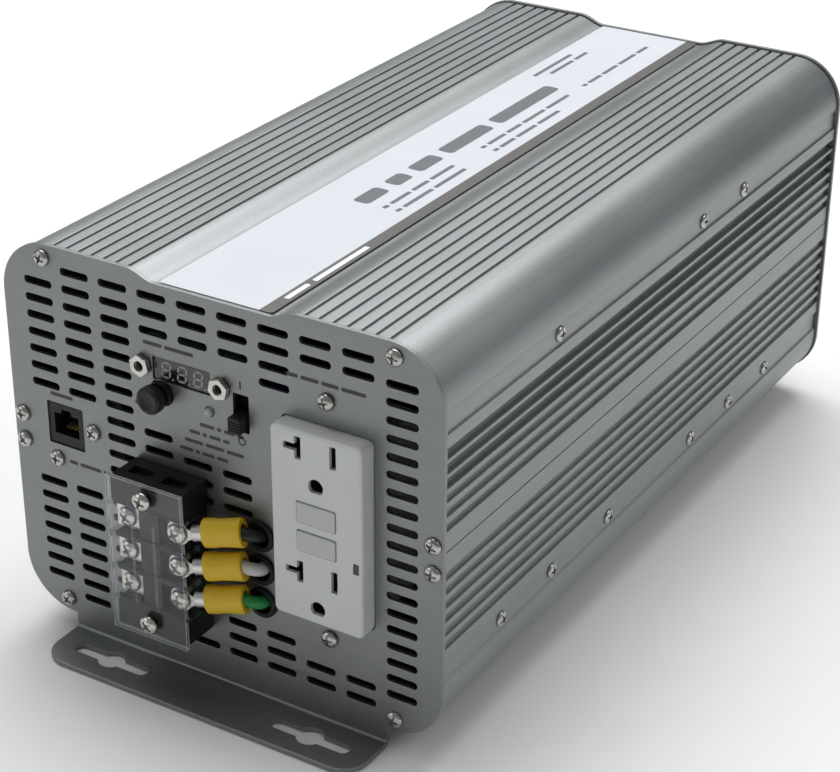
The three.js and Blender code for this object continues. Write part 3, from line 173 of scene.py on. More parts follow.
ON_FRONT = facing((1, 0, 0), (0, 0, 1), (0, -FRONT, CENTRE))
ON_REAR = facing((-1, 0, 0), (0, 0, 1), (0, FRONT, CENTRE))
ON_RIGHT = facing((0, 1, 0), (0, 0, 1), (HALF_WIDTH, 0, CENTRE))
ON_LEFT = facing((0, -1, 0), (0, 0, 1), (-HALF_WIDTH, 0, CENTRE))


def at(x, y, z=0.0, turn=0.0):
    return Matrix.Translation((x, y, z)) @ Matrix.Rotation(turn, 4, "Z")


def front(*place):
    return ON_FRONT @ at(*place)


def rear(*place):
    return ON_REAR @ at(*place)


# ---- shapes

def added(name, data):
    """A new object in the scene."""
    made = bpy.data.objects.new(name, data)
    bpy.context.scene.collection.objects.link(made)
    return made


def evaluated(data, *modifiers):
    """A plain mesh of data after the given modifiers, each a (type, settings) pair."""
    holder = added("draft", data)
    for kind, settings in modifiers:
        modifier = holder.modifiers.new(kind, kind)
        for key, value in settings.items():
            if key.startswith("Socket_"):
                modifier[key] = value
            else:
                setattr(modifier, key, value)
    bpy.context.view_layer.update()
    ready = holder.evaluated_get(bpy.context.evaluated_depsgraph_get())
    mesh = bpy.data.meshes.new_from_object(ready)
    bpy.data.objects.remove(holder)
    return mesh


def opened(*meshes):
    """A BMesh that holds all the meshes."""
    bm = bmesh.new()
    for mesh in meshes:
        bm.from_mesh(mesh)
    return bm


def mesh_of(bm):
    mesh = bpy.data.meshes.new("draft")
    bm.to_mesh(mesh)
    bm.free()
    return mesh


def closed(bm):
    """The BMesh as a mesh with every face turned outwards."""
    bmesh.ops.recalc_face_normals(bm, faces=bm.faces)
    return mesh_of(bm)


def welded(mesh):
    bm = opened(mesh)
    bmesh.ops.remove_doubles(bm, verts=bm.verts, dist=1e-4)
    return closed(bm)


def merged(*meshes):
    return mesh_of(opened(*meshes))


def moved(mesh, *matrices):
    """One copy of the mesh at each matrix."""
    copies = []
    for matrix in matrices:
        copy = mesh.copy()
        copy.transform(matrix)
        copies.append(copy)
    return merged(*copies)


def circle(x, y, radius, count=24):
    steps = [2 * pi * k / count for k in range(count)]
    return [(x + radius * cos(a), y + radius * sin(a)) for a in steps]


def arc(x, y, radius, start, end, count):
    steps = [start + (end - start) * k / count for k in range(count + 1)]
    return [(x + radius * cos(a), y + radius * sin(a)) for a in steps]


def rectangle(x, y, width, height, radius=0.0, count=4):
    half_x, half_y = width / 2 - radius, height / 2 - radius
    if radius == 0:
        return [(x + a * half_x, y + b * half_y) for a, b in ((-1, -1), (1, -1), (1, 1), (-1, 1))]
    corners = ((1, -1, -0.5), (1, 1, 0), (-1, 1, 0.5), (-1, -1, 1))
    loop = []
    for a, b, turn in corners:
        start = turn * pi
        loop += arc(x + a * half_x, y + b * half_y, radius, start, start + pi / 2, count)
    return loop


def plate(loops, low, high, rim=0.0, steps=2):
    """A closed sheet from z low to high: outlines and the holes in them, with rounded rims."""
    curve = bpy.data.curves.new("outline", "CURVE")
    curve.dimensions = "2D"
    curve.fill_mode = "BOTH"
    for loop in loops:
        spline = curve.splines.new("POLY")
        spline.points.add(len(loop) - 1)
        for point, (x, y) in zip(spline.points, loop):
            point.co = (x, y, 0, 1)
        spline.use_cyclic_u = True
    curve.extrude = (high - low) / 2 - rim
    if rim:
        curve.bevel_depth = rim
        curve.bevel_resolution = steps
        curve.offset = -rim
    mesh = evaluated(curve)
    mesh.transform(Matrix.Translation((0, 0, (low + high) / 2)))
    return welded(mesh)


def lathe(profile, count=32):
    """A solid of revolution about z: its (radius, z) profile ends on the axis or meets itself."""
    bm = bmesh.new()
    rings = []
    for radius, z in profile:
        if radius < 1e-6:
            rings.append([bm.verts.new((0, 0, z))])
        else:
            rings.append([bm.verts.new((x, y, z)) for x, y in circle(0, 0, radius, count)])
    for lower, upper in zip(rings, rings[1:]):
        for k in range(count):
            a, b = k % len(lower), (k + 1) % len(lower)
            c, d = (k + 1) % len(upper), k % len(upper)
            corners = list(dict.fromkeys((lower[a], lower[b], upper[c], upper[d])))
            if len(corners) > 2:
                bm.faces.new(corners)
    if len(rings[0]) > 1 and len(rings[-1]) > 1:
        for k in range(count):
            n = (k + 1) % count
            bm.faces.new((rings[-1][k], rings[-1][n], rings[0][n], rings[0][k]))
    return closed(bm)


def tube(path, radius, resolution=3, cyclic=False):
    curve = bpy.data.curves.new("route", "CURVE")
    curve.dimensions = "3D"
    spline = curve.splines.new("POLY")
    spline.points.add(len(path) - 1)
    for point, place in zip(spline.points, path):
        point.co = (*place, 1)
    spline.use_cyclic_u = cyclic
    curve.bevel_depth = radius
    curve.bevel_resolution = resolution
    curve.use_fill_caps = not cyclic
    return welded(evaluated(curve))


def rounded(mesh, width, segments=2, angle=35.0):
    return evaluated(mesh, ("BEVEL", {
        "width": width, "segments": segments, "limit_method": "ANGLE",
        "angle_limit": radians(angle), "use_clamp_overlap": True, "miter_outer": "MITER_ARC"}))


def carved(mesh, *cutters):
    """The mesh with every cutter taken out of it."""
    tool = added("cutter", welded(merged(*cutters)))
    result = evaluated(mesh, ("BOOLEAN", {
        "object": tool, "operation": "DIFFERENCE", "solver": "EXACT", "use_self": True}))
    bpy.data.objects.remove(tool)
    return welded(result)


def cad_shape(node, rim, segments):
    """A CAD node's shape in millimetres, with its flat faces made whole and its edges eased."""
    bm = opened(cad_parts[node].data)
    bmesh.ops.scale(bm, vec=(1 / MM,) * 3, verts=bm.verts)
    bmesh.ops.remove_doubles(bm, verts=bm.verts, dist=1e-3)
    bmesh.ops.dissolve_limit(bm, angle_limit=radians(0.4), verts=bm.verts, edges=bm.edges)
    mesh = mesh_of(bm)
    mesh.materials.clear()
    return rounded(mesh, rim, segments)


def piece(name, mesh, look, *replaced, body="root", slot=None):
    """Finishes a mesh in the part's millimetres as a named piece of the object."""
    bm = opened(mesh)
    bmesh.ops.recalc_face_normals(bm, faces=bm.faces)
    bmesh.ops.scale(bm, vec=(MM,) * 3, verts=bm.verts)
    for face in bm.faces:
        face.smooth = True
    for edge in bm.edges:
        edge.smooth = edge.is_manifold and edge.calc_face_angle(0) < SHARP
    shaped = evaluated(mesh_of(bm), ("WEIGHTED_NORMAL", {"keep_sharp": True, "weight": 80}))
    shaped.name = name
    shaped.materials.clear()
    shaped.materials.append(look)
    made = added(name, shaped)
    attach(made, body)
    if replaced:
        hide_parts(*replaced)


def refined(node, look, rim, segments=2):
    piece(node + "_finished", cad_shape(node, rim, segments), look, node)


# ---- repeats

def repeats(name, shape, places, look, *replaced):
    """One shape at every place, by instancing on points that carry their turn."""
    points = bpy.data.meshes.new("places")
    points.from_pydata([tuple(m.to_translation() * MM) for m in places], [], [])
    turns = points.attributes.new("turn", "FLOAT_VECTOR", "POINT")
    for item, matrix in zip(turns.data, places):
        item.vector = tuple(matrix.to_euler())
    pattern = added("pattern", shape)

    tree = bpy.data.node_groups.new(name + "_layout", "GeometryNodeTree")
    ports = {}
    for label, kind in (("Points", "Geometry"), ("Shape", "Object"), ("Size", "Float"),
                        ("Finish", "Material")):
        ports[label] = tree.interface.new_socket(
            label, in_out="INPUT", socket_type="NodeSocket" + kind).identifier
    tree.interface.new_socket("Result", in_out="OUTPUT", socket_type="NodeSocketGeometry")
    start, end = tree.nodes.new("NodeGroupInput"), tree.nodes.new("NodeGroupOutput")
    info = tree.nodes.new("GeometryNodeObjectInfo")
    turn = tree.nodes.new("GeometryNodeInputNamedAttribute")
    turn.data_type = "FLOAT_VECTOR"
    turn.inputs["Name"].default_value = "turn"
    place = tree.nodes.new("GeometryNodeInstanceOnPoints")
    realize = tree.nodes.new("GeometryNodeRealizeInstances")
    paint = tree.nodes.new("GeometryNodeSetMaterial")
    for source, output, target, port in (
            (start, "Points", place, "Points"), (start, "Shape", info, "Object"),
            (info, "Geometry", place, "Instance"), (turn, "Attribute", place, "Rotation"),
            (start, "Size", place, "Scale"), (place, "Instances", realize, "Geometry"),
            (realize, "Geometry", paint, "Geometry"), (start, "Finish", paint, "Material"),
            (paint, "Geometry", end, "Result")):
        tree.links.new(source.outputs[output], target.inputs[port])
    mesh = evaluated(points, ("NODES", {
        "node_group": tree, ports["Shape"]: pattern, ports["Size"]: MM, ports["Finish"]: look}))
    bpy.data.objects.remove(pattern)
    mesh.transform(Matrix.Scale(1 / MM, 4))
    piece(name, mesh, look, *replaced)


# ---- finishes

class Term:
    """A value in a finish. Arithmetic on it adds Math nodes."""

    def __init__(self, finish, socket):
        self.finish = finish
        self.socket = socket

    def maths(self, operation, *values):
        return self.finish.node("ShaderNodeMath", {"operation": operation}, dict(enumerate(values)))

    def operator(operation):
        return lambda self, other: self.maths(operation, self, other)

    __add__ = __radd__ = operator("ADD")
    __sub__ = operator("SUBTRACT")
    __mul__ = operator("MULTIPLY")
    __gt__ = operator("GREATER_THAN")
    __lt__ = operator("LESS_THAN")

    def __abs__(self):
        return self.maths("ABSOLUTE", self)

    def clipped(self, low, high):
        """0 below low and 1 above high, with a smooth slope between them."""
        return self.finish.node("ShaderNodeMapRange", {"interpolation_type": "SMOOTHSTEP"},
                                {0: self, 1: low, 2: high})


class Finish:
    """A material round one Principled shader, with uniform numbers set on the shader's sockets."""

    def __init__(self, name, **uniform):
        self.material = bpy.data.materials.new(name)
        self.material.use_nodes = True
        self.tree = self.material.node_tree
        self.shader = self.tree.nodes["Principled BSDF"]
        for key, value in uniform.items():
            self.shader.inputs[key.replace("_", " ")].default_value = value
        self.place = self.node("ShaderNodeTexCoord", output="Object")
        split = self.node("ShaderNodeSeparateXYZ", values={0: self.place}).socket.node
        self.x, self.y, self.z = (Term(self, socket) for socket in split.outputs)

    def node(self, kind, settings=None, values=None, output=0):
        made = self.tree.nodes.new(kind)
        for key, value in (settings or {}).items():
            setattr(made, key, value)
        for key, value in (values or {}).items():
            self.feed(made.inputs[key], value)
        return Term(self, made.outputs[output])

    def feed(self, socket, value):
        if isinstance(value, Term):
            self.tree.links.new(value.socket, socket)
        else:
            socket.default_value = value

    def noise(self, size, detail=2.0, stretch=(1, 1, 1)):
        """Soft noise about size millimetres across, drawn out by stretch."""
        scale = tuple(1 / (size * MM * s) for s in stretch)
        mapped = self.node("ShaderNodeMapping", values={"Vector": self.place, "Scale": scale})
        return self.node("ShaderNodeTexNoise", values={
            "Vector": mapped, "Scale": 1.0, "Detail": detail, "Roughness": 0.5})

    def mix(self, factor, first, second):
        values = {0: factor, 6: self.colour(first), 7: self.colour(second)}
        return self.node("ShaderNodeMix", {"data_type": "RGBA"}, values, output=2)

    def colour(self, value):
        return value if isinstance(value, Term) else (*value, 1.0)

    def bump(self, height, depth):
        return self.node("ShaderNodeBump", values={
            "Height": height, "Distance": depth * MM, "Strength": 1.0})

    def done(self, **varying):
        for key, value in varying.items():
            self.feed(self.shader.inputs[key.replace("_", " ")], value)
        return self.material


def anodised():
    f = Finish("anodised_aluminium", Metallic=1.0)
    grain = f.noise(0.55, 3)
    streak = f.noise(1.0, 3, (1.1, 220, 1.1))
    cloud = f.noise(55, 2)
    tone = grain * 0.55 + streak * 0.3 + cloud * 0.35 - 0.1
    scuff = f.noise(26, 4, (1, 0.5, 1)).clipped(0.63, 0.74)
    return f.done(
        Base_Color=f.mix(tone, (0.205, 0.218, 0.220), (0.395, 0.415, 0.418)),
        Roughness=0.36 + grain * 0.16 + cloud * 0.06 + scuff * 0.05,
        Normal=f.bump(grain * 0.8 + streak * 0.5, 0.035))


def panel_grey():
    f = Finish("panel_grey", Metallic=0.9)
    grain = f.noise(0.5, 3)
    cloud = f.noise(40, 3)
    streak = f.noise(1.0, 2, (120, 1.0, 1.0))
    tone = grain * 0.6 + cloud * 0.35 + streak * 0.2 - 0.1
    return f.done(
        Base_Color=f.mix(tone, (0.185, 0.194, 0.192), (0.335, 0.348, 0.345)),
        Roughness=0.36 + grain * 0.16,
        Normal=f.bump(grain, 0.03))


def label_film():
    f = Finish("label_film", Coat_Weight=0.25, Coat_Roughness=0.25)
    fibre = f.noise(0.8, 2)
    cloud = f.noise(30, 2)
    stripe = f.x > STRIPE_EDGE * MM
    white = f.mix(cloud, (0.62, 0.65, 0.70), (0.69, 0.72, 0.755))
    dark = f.mix(fibre, (0.105, 0.10, 0.095), (0.125, 0.12, 0.115))
    return f.done(
        Base_Color=f.mix(stripe, white, dark),
        Roughness=0.36 + fibre * 0.1,
        Normal=f.bump(fibre, 0.01))


def ink(name, colour):
    f = Finish(name)
    coverage = f.noise(0.5, 2)
    lighter = tuple(min(1.0, 1.5 * c + 0.02) for c in colour)
    return f.done(Base_Color=f.mix(coverage, colour, lighter), Roughness=0.45 + coverage * 0.2)


def moulded(name, dark, light, texture=0.6, depth=0.03, gloss=0.4, painted_shade_mask=None, **uniform):
    """Moulded plastic: a fine spark-eroded texture and slow flow marks; the optional mask marks
    wells that are darkened to near black as painted shade.
    """
    f = Finish(name, **uniform)
    pebble = f.noise(texture, 2)
    flow = f.noise(14, 3, (1, 1, 2.5))
    colour = f.mix(flow * 0.7 + pebble * 0.3, dark, light)
    if painted_shade_mask:
        # painted shade: near black inside the masked wells, where little light reaches
        colour = f.mix(painted_shade_mask(f), colour, tuple(0.03 * c for c in dark))
    return f.done(
        Base_Color=colour,
        Roughness=gloss - 0.06 + pebble * 0.16 + flow * 0.05,
        Normal=f.bump(pebble, depth))


def plated(name, dark, light, gloss=0.2, depth=0.012):
    """Plated or machined metal with faint tool marks and duller patches."""
    f = Finish(name, Metallic=1.0)
    fine = f.noise(0.35, 2)
    patch = f.noise(3.2, 3)
    stain = patch.clipped(0.5, 0.72)
    return f.done(
        Base_Color=f.mix(patch * 0.8 + fine * 0.2, dark, light),
        Roughness=gloss + fine * 0.12 + stain * 0.14,
        Normal=f.bump(fine, depth))


def clear_cover():
    """Thin clear plastic: it mirrors a little face on, more at a glance, and most at its edges."""
    f = Finish("clear_cover", Metallic=1.0)
    glance = f.node("ShaderNodeLayerWeight", values={"Blend": 0.36}, output="Fresnel")
    haze = f.noise(7, 4)
    scratch = f.noise(1.0, 2, (0.25, 6, 6)).clipped(0.66, 0.72)
    across = abs(f.x - TERMINAL[0] * MM) > COVER_EDGE[0] * MM
    upright = abs(f.z - (CENTRE + TERMINAL[1]) * MM) > COVER_EDGE[1] * MM
    return f.done(
        Base_Color=f.mix(haze, (0.78, 0.82, 0.86), (0.92, 0.95, 0.98)),
        Roughness=0.10 + haze * 0.10 + scratch * 0.2,
        Alpha=0.003 + haze * 0.006 + glance * 0.07 + scratch * 0.02 + across * 0.2 + upright * 0.2,
        Normal=f.bump(haze, 0.05))


def smoked_window():
    f = Finish("smoked_window", Coat_Weight=0.6, Coat_Roughness=0.06)
    haze = f.noise(5, 2)
    return f.done(Base_Color=f.mix(haze, (0.006, 0.006, 0.007), (0.014, 0.013, 0.014)),
                  Roughness=0.12 + haze * 0.12)


def circuit_board():
    f = Finish("circuit_board", Coat_Weight=0.3)
    tracks = f.node("ShaderNodeTexBrick", {"offset": 0.37}, {
        "Vector": f.place, "Scale": 260.0, "Mortar Size": 0.028,
        "Color1": (0, 0, 0, 1), "Color2": (0.25, 0.25, 0.25, 1), "Mortar": (1, 1, 1, 1)})
    weave = f.noise(0.9, 2)
    mask = f.mix(weave, (0.012, 0.09, 0.03), (0.02, 0.14, 0.05))
    return f.done(
        Base_Color=f.mix(tracks, mask, (0.06, 0.26, 0.10)),
        Roughness=0.32 + weave * 0.15,
        Normal=f.bump(tracks, 0.03))


def ferrite():
    f = Finish("ferrite_and_tape")
    band = abs(f.z - TAPE[0] * MM) < TAPE[1] * MM
    grit = f.noise(0.7, 3)
    core = f.mix(grit, (0.02, 0.02, 0.022), (0.05, 0.05, 0.052))
    tape = f.mix(grit, (0.62, 0.42, 0.05), (0.74, 0.52, 0.09))
    return f.done(Base_Color=f.mix(band, core, tape), Roughness=0.5 + grit * 0.25,
                  Normal=f.bump(grit, 0.06))


def glow_lens():
    f = Finish("led_lens", IOR=1.5, Coat_Weight=0.5, Coat_Roughness=0.05)
    depth = f.noise(1.6, 2)
    return f.done(Base_Color=f.mix(depth, (0.36, 0.37, 0.36), (0.62, 0.63, 0.62)),
                  Roughness=0.12 + depth * 0.15, Alpha=0.72 + depth * 0.2)


ALUMINIUM = anodised()
PANEL = panel_grey()
LABEL = label_film()
DARK_INK = ink("printed_dark_ink", (0.022, 0.022, 0.024))
GREY_INK = ink("printed_grey_ink", (0.10, 0.105, 0.12))
PALE_INK = ink("printed_pale_ink", (0.62, 0.63, 0.64))


def well_shade_mask(f):
    """1 below the outlet's face, inside its rim: where painted shade darkens the outlet's slots and
    wells.
    """
    sunk = f.y > (OUTLET_WELL - FRONT - OUTLET_PROUD) * MM
    across = abs(f.x - OUTLET[0] * MM) < OUTLET_EDGE[0] * MM
    upright = abs(f.z - (CENTRE + OUTLET[1]) * MM) < OUTLET_EDGE[1] * MM
    return sunk * across * upright


# the outlet's nylon, with painted shade inside its slots, button wells and lamp well
NYLON = moulded("outlet_nylon", (0.60, 0.625, 0.61), (0.67, 0.69, 0.67), 0.9, 0.012, 0.3, well_shade_mask,
                Coat_Weight=0.15, Coat_Roughness=0.3)
BUTTON_NYLON = moulded("button_nylon", (0.50, 0.52, 0.50), (0.57, 0.59, 0.57), 0.7, 0.02, 0.38)
# painted shade: a near-black material for sheets set inside holes where there is only shadow
PAINTED_HOLE_SHADE = moulded("contact_shadow", (0.02, 0.02, 0.02), (0.04, 0.04, 0.04))
BLACK = moulded("black_plastic", (0.005, 0.005, 0.0055), (0.013, 0.013, 0.014), 0.5, 0.025, 0.42,
                Specular_IOR_Level=0.35)
BAKELITE = moulded("terminal_plastic", (0.005, 0.005, 0.0055), (0.012, 0.012, 0.013), 0.8, 0.02,
                   0.42, Specular_IOR_Level=0.28)
FAN_PLASTIC = moulded("fan_plastic", (0.012, 0.012, 0.012), (0.022, 0.022, 0.022), 0.7, 0.03, 0.36)
RED = moulded("red_plastic", (0.36, 0.012, 0.010), (0.46, 0.022, 0.016), 0.6, 0.02, 0.34)
RUBBER = moulded("grommet_rubber", (0.004, 0.004, 0.004), (0.011, 0.011, 0.011), 0.35, 0.03, 0.5,
                 Specular_IOR_Level=0.3)
YELLOW = moulded("yellow_vinyl", (0.60, 0.39, 0.010), (0.76, 0.52, 0.025), 1.4, 0.03, 0.34,
                 Subsurface_Weight=0.08, Subsurface_Radius=(0.002, 0.001, 0.0004))
WIRES = [
    moulded("black_wire", (0.004, 0.004, 0.004), (0.012, 0.012, 0.012), 0.5, 0.015, 0.34),
    moulded("white_wire", (0.62, 0.62, 0.58), (0.74, 0.74, 0.70), 0.5, 0.015, 0.34),
    moulded("green_wire", (0.012, 0.20, 0.045), (0.03, 0.33, 0.08), 0.5, 0.015, 0.34),
]
NICKEL = plated("nickel_plate", (0.42, 0.41, 0.38), (0.72, 0.70, 0.65), 0.14)
ZINC = plated("zinc_screws", (0.34, 0.335, 0.32), (0.62, 0.61, 0.58), 0.16)
TIN = plated("tinned_copper", (0.56, 0.55, 0.53), (0.80, 0.79, 0.76), 0.24)
BRASS = plated("turned_brass", (0.50, 0.34, 0.10), (0.74, 0.55, 0.22), 0.22)
GOLD = plated("contact_gold", (0.66, 0.44, 0.12), (0.86, 0.62, 0.22), 0.2)
COVER = clear_cover()
WINDOW = smoked_window()
LENS = glow_lens()
BOARD = circuit_board()
FERRITE = ferrite()
SLEEVE_BLUE = moulded("capacitor_sleeve", (0.010, 0.016, 0.06), (0.02, 0.03, 0.10), 0.8, 0.02, 0.36)
SEGMENT = ink("unlit_segments", (0.24, 0.235, 0.22))

# ---- screws

def cross_head(radius, height, shank=0.0, depth=4.0, count=32):
    """A pan-head screw with a cross recess; z = 0 is the face it seats on."""
    rim = 0.25 * height
    dome = [(radius * cos(a), rim + (height - rim) * sin(a))
            for a in (0.0, 0.28, 0.56, 0.84, 1.12, 1.35)]
    profile = [(0, -depth), (shank, -depth), (shank, 0)] if shank else [(0, 0)]
    profile += [(radius * 0.97, 0), (radius, rim * 0.4), *dome, (0, height)]
    arm = radius * 0.62
    width = radius * 0.24
    top = height + 0.5
    floor = height * 0.3
    bars = [plate([rectangle(0, 0, a, b)], floor, top) for a, b in (
        (2 * arm, width), (width, 2 * arm))]
    core = plate([rectangle(0, 0, width * 1.9, width * 1.9, width * 0.3)], floor - 0.1, top)
    return rounded(carved(lathe(profile, count), *bars, core), 0.05, 1, 50)


PANEL_SCREW = cross_head(2.9, 1.7)
HOUSING_SCREW = cross_head(2.75, 1.25)
TERMINAL_SCREW = cross_head(3.5, 2.2, 1.8, 3.5)
COVER_SCREW = cross_head(3.3, 2.0, 1.4, 7.0)
spin = random.Random(5)


def turned(places):
    """Each place with its screw stopped at an angle of its own."""
    return [place @ at(0, 0, 0, spin.uniform(0, pi / 2)) for place in places]


front_screws = [front(x, y, SEAT) for x, y in CORNER_SCREWS + SIDE_SCREWS + JACK_SCREWS]
rear_screws = [rear(x, y, SEAT) for x, y in CORNER_SCREWS + SIDE_SCREWS]
fan_screws = [rear(x + a * FAN_HOLES, FAN_HEIGHT + b * FAN_HOLES, 1.7)
              for x in FANS for a in (-1, 1) for b in (-1, 1)]
repeats("panel_screws", PANEL_SCREW, turned(front_screws + rear_screws + fan_screws), ZINC)
band_middle = sum(SCREW_BAND) / 2
side_rows = [(y, SPLIT + band_middle) for y in UPPER_BAND_SCREWS]
side_rows += [(y, SPLIT - band_middle) for y in LOWER_BAND_SCREWS]
repeats("housing_screws", HOUSING_SCREW, turned(
    [ON_RIGHT @ at(y, z, SEAT - BAND_DEPTH) for y, z in side_rows]
    + [ON_LEFT @ at(-y, z, SEAT - BAND_DEPTH) for y, z in side_rows]), ZINC)
repeats("outlet_screws", cross_head(2.9, 1.7, 1.4, 7.5), turned(
    [front(OUTLET[0], y, 0.3) for y in OUTLET_SCREWS]), ZINC,
        "outlet_screw_upper", "outlet_screw_lower")
terminal_seat = TERMINAL_BASE + WASHER + (RING[1] - RING[0]) + WASHER
repeats("terminal_screws", TERMINAL_SCREW, turned(
    [front(TERMINAL_COLUMNS[1], y, terminal_seat) for y in TERMINAL_ROWS]),
        NICKEL, "terminal_screw_1", "terminal_screw_2", "terminal_screw_3")
repeats("spare_terminal_screws", TERMINAL_SCREW.copy(), turned(
    [front(TERMINAL_COLUMNS[0], y, terminal_seat - 0.5) for y in TERMINAL_ROWS]), NICKEL)
repeats("cover_screws", COVER_SCREW, turned(
    [front(TERMINAL[0], y, COVER_PROUD + 0.3) for y in COVER_SCREWS]),
        NICKEL, "cover_screw_upper", "cover_screw_lower")

# ---- housing

def smooth_shoulder(top, drop, count=12):
    """The S-shaped slope from the top face down to the label's recess."""
    width = SHOULDER_OUTER - RECESS_HALF
    steps = [k / count for k in range(count + 1)]
    return [(SHOULDER_OUTER - width * t, top - drop * t * t * (3 - 2 * t)) for t in steps]


def housing_outline(crown, recess, deep_from):
    """Right half of one extrusion's outside, from the parting line up to its middle."""
    points = [(HALF_WIDTH, PARTING)]
    for k, middle in enumerate(SIDE_GROOVES):
        width, depth = DEEP_GROOVE if k >= deep_from else SHALLOW_GROOVE
        low, high = middle - width / 2, middle + width / 2
        points += [(HALF_WIDTH, low), (HALF_WIDTH - depth, low + GROOVE_LEAN),
                   (HALF_WIDTH - depth, high - GROOVE_LEAN), (HALF_WIDTH, high)]
    low, high = SCREW_BAND
    floor = HALF_WIDTH - BAND_DEPTH
    points += [(HALF_WIDTH, low), (floor, low), (floor, high - BAND_DEPTH), (HALF_WIDTH, high)]
    centre = (HALF_WIDTH - HOUSING_CORNER, crown - HOUSING_CORNER)
    points += arc(*centre, HOUSING_CORNER, 0, pi / 2, 26)
    mouth, foot, depth = TOP_GROOVE
    for middle in TOP_GROOVES:
        points += [(middle + mouth, crown), (middle + foot, crown - depth),
                   (middle - foot, crown - depth), (middle - mouth, crown)]
    if recess:
        points += smooth_shoulder(crown, RECESS_DEPTH)
    return points


def extrusion(crown, recess, deep_from, sense):
    outside = housing_outline(crown, recess, deep_from)
    outside += [(-x, h) for x, h in reversed(outside)]
    inner = HALF_WIDTH - WALL
    ceiling = crown - WALL - (RECESS_DEPTH if recess else 0)
    radius = HOUSING_CORNER - WALL
    right = [(inner, PARTING)] + arc(inner - radius, ceiling - radius, radius, 0, pi / 2, 6)
    loop = outside + [(-x, h) for x, h in right] + right[::-1]
    flat = [(x, SPLIT + sense * h) for x, h in loop]
    bm = bmesh.new()
    lower = [bm.verts.new((x, -HOUSING_END, CENTRE + z)) for x, z in flat]
    upper = [bm.verts.new((x, HOUSING_END, CENTRE + z)) for x, z in flat]
    bm.faces.new(lower)
    bm.faces.new(upper[::-1])
    for k in range(len(flat)):
        n = (k + 1) % len(flat)
        bm.faces.new((lower[k], lower[n], upper[n], upper[k]))
    return rounded(closed(bm), 0.3, 2, 40)


piece("upper_extrusion", extrusion(HALF_HEIGHT - SPLIT, True, 3, 1), ALUMINIUM, "upper_housing")
piece("lower_extrusion", extrusion(HALF_HEIGHT + SPLIT, False, 6, -1), ALUMINIUM, "lower_housing")
boss = plate([circle(0, 0, 3.9, 20), circle(0, 0, 1.4, 12)], -HOUSING_END, HOUSING_END)
along_body = facing((1, 0, 0), (0, 0, 1), (0, 0, CENTRE))
piece("screw_bosses", moved(boss, *(along_body @ at(x, y) for x, y in CORNER_SCREWS)),
      ALUMINIUM)

# ---- end panels

def panel_outline():
    """The flat blank of a panel, with its foot not yet folded."""
    width, height, radius = PANEL_WIDTH / 2, PANEL_HEIGHT / 2, PANEL_CORNER
    leg = FOOT_WIDTH / 2
    toe = CREASE - FOLD - (FOOT_REACH - BEND_INNER)
    right = arc(leg - FOOT_CORNER, toe + FOOT_CORNER, FOOT_CORNER, -pi / 2, 0, 8)
    right += [(leg, -height)]
    right += arc(width - radius, -height + radius, radius, -pi / 2, 0, 18)
    right += arc(width - radius, height - radius, radius, 0, pi / 2, 18)
    right += smooth_shoulder(height, RECESS_DEPTH)
    return right + [(-x, y) for x, y in reversed(right)]


def vent_positions(node, sign):
    """Where the CAD panel has a vent, looking for the four corners of each possible one."""
    corners = set()
    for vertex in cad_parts[node].data.vertices:
        x, y, z = vertex.co / MM
        if abs(abs(y) - FRONT) < 0.01:
            corners.add((round(sign * x, 1), round(z - CENTRE, 1)))
    columns, rows = VENT_GRID
    grid = [((i - (columns - 1) / 2) * VENT_PITCH[0], (j - (rows - 1) / 2) * VENT_PITCH[1])
            for i in range(columns) for j in range(rows)]
    return [(x, y) for x, y in grid if all(
        (round(x + a * VENT[0] / 2, 1), round(y + b * VENT[1] / 2, 1)) in corners
        for a in (-1, 1) for b in (-1, 1))]


def foot_slot(x):
    """A foot's slot with its round eye, on the flat blank."""
    y = CREASE - FOLD - (FOOT_REACH / 2 - BEND_INNER)
    length, radius, eye = FOOT_SLOT
    half = length / 2 - radius
    reach = sqrt(eye ** 2 - radius ** 2)
    dip = atan2(radius, reach)
    loop = arc(x + half, y, radius, -pi / 2, pi / 2, 8)
    loop += arc(x, y, eye, dip, pi - dip, 12)
    loop += arc(x - half, y, radius, pi / 2, 1.5 * pi, 8)
    return loop + arc(x, y, eye, pi + dip, 2 * pi - dip, 12)


def folded(blank):
    """Bends the blank's foot forward round the fold."""
    bm = opened(blank)
    for k in range(FOLD_STEPS + 1):
        everything = bm.verts[:] + bm.edges[:] + bm.faces[:]
        bmesh.ops.bisect_plane(bm, geom=everything, dist=1e-5, plane_no=(0, 1, 0),
                               plane_co=(0, CREASE - FOLD * k / FOLD_STEPS, 0))
    for vertex in bm.verts:
        x, y, z = vertex.co
        if y >= CREASE:
            continue
        inside = BEND_INNER - z
        turn = min((CREASE - y) / BEND_NEUTRAL, pi / 2)
        flat = max(CREASE - y - FOLD, 0)
        out = BEND_INNER - inside * cos(turn) + flat
        vertex.co = (x, CREASE - inside * sin(turn), out)
    return mesh_of(bm)


def panel(node, sign, holes):
    loops = [panel_outline(), *holes, *(foot_slot(x) for x in FOOT_SLOTS)]
    loops += [rectangle(x, y, *VENT, 1.1, 3) for x, y in vent_positions(node, sign)]
    return folded(plate(loops, -SHEET, 0, 0.18, 1))


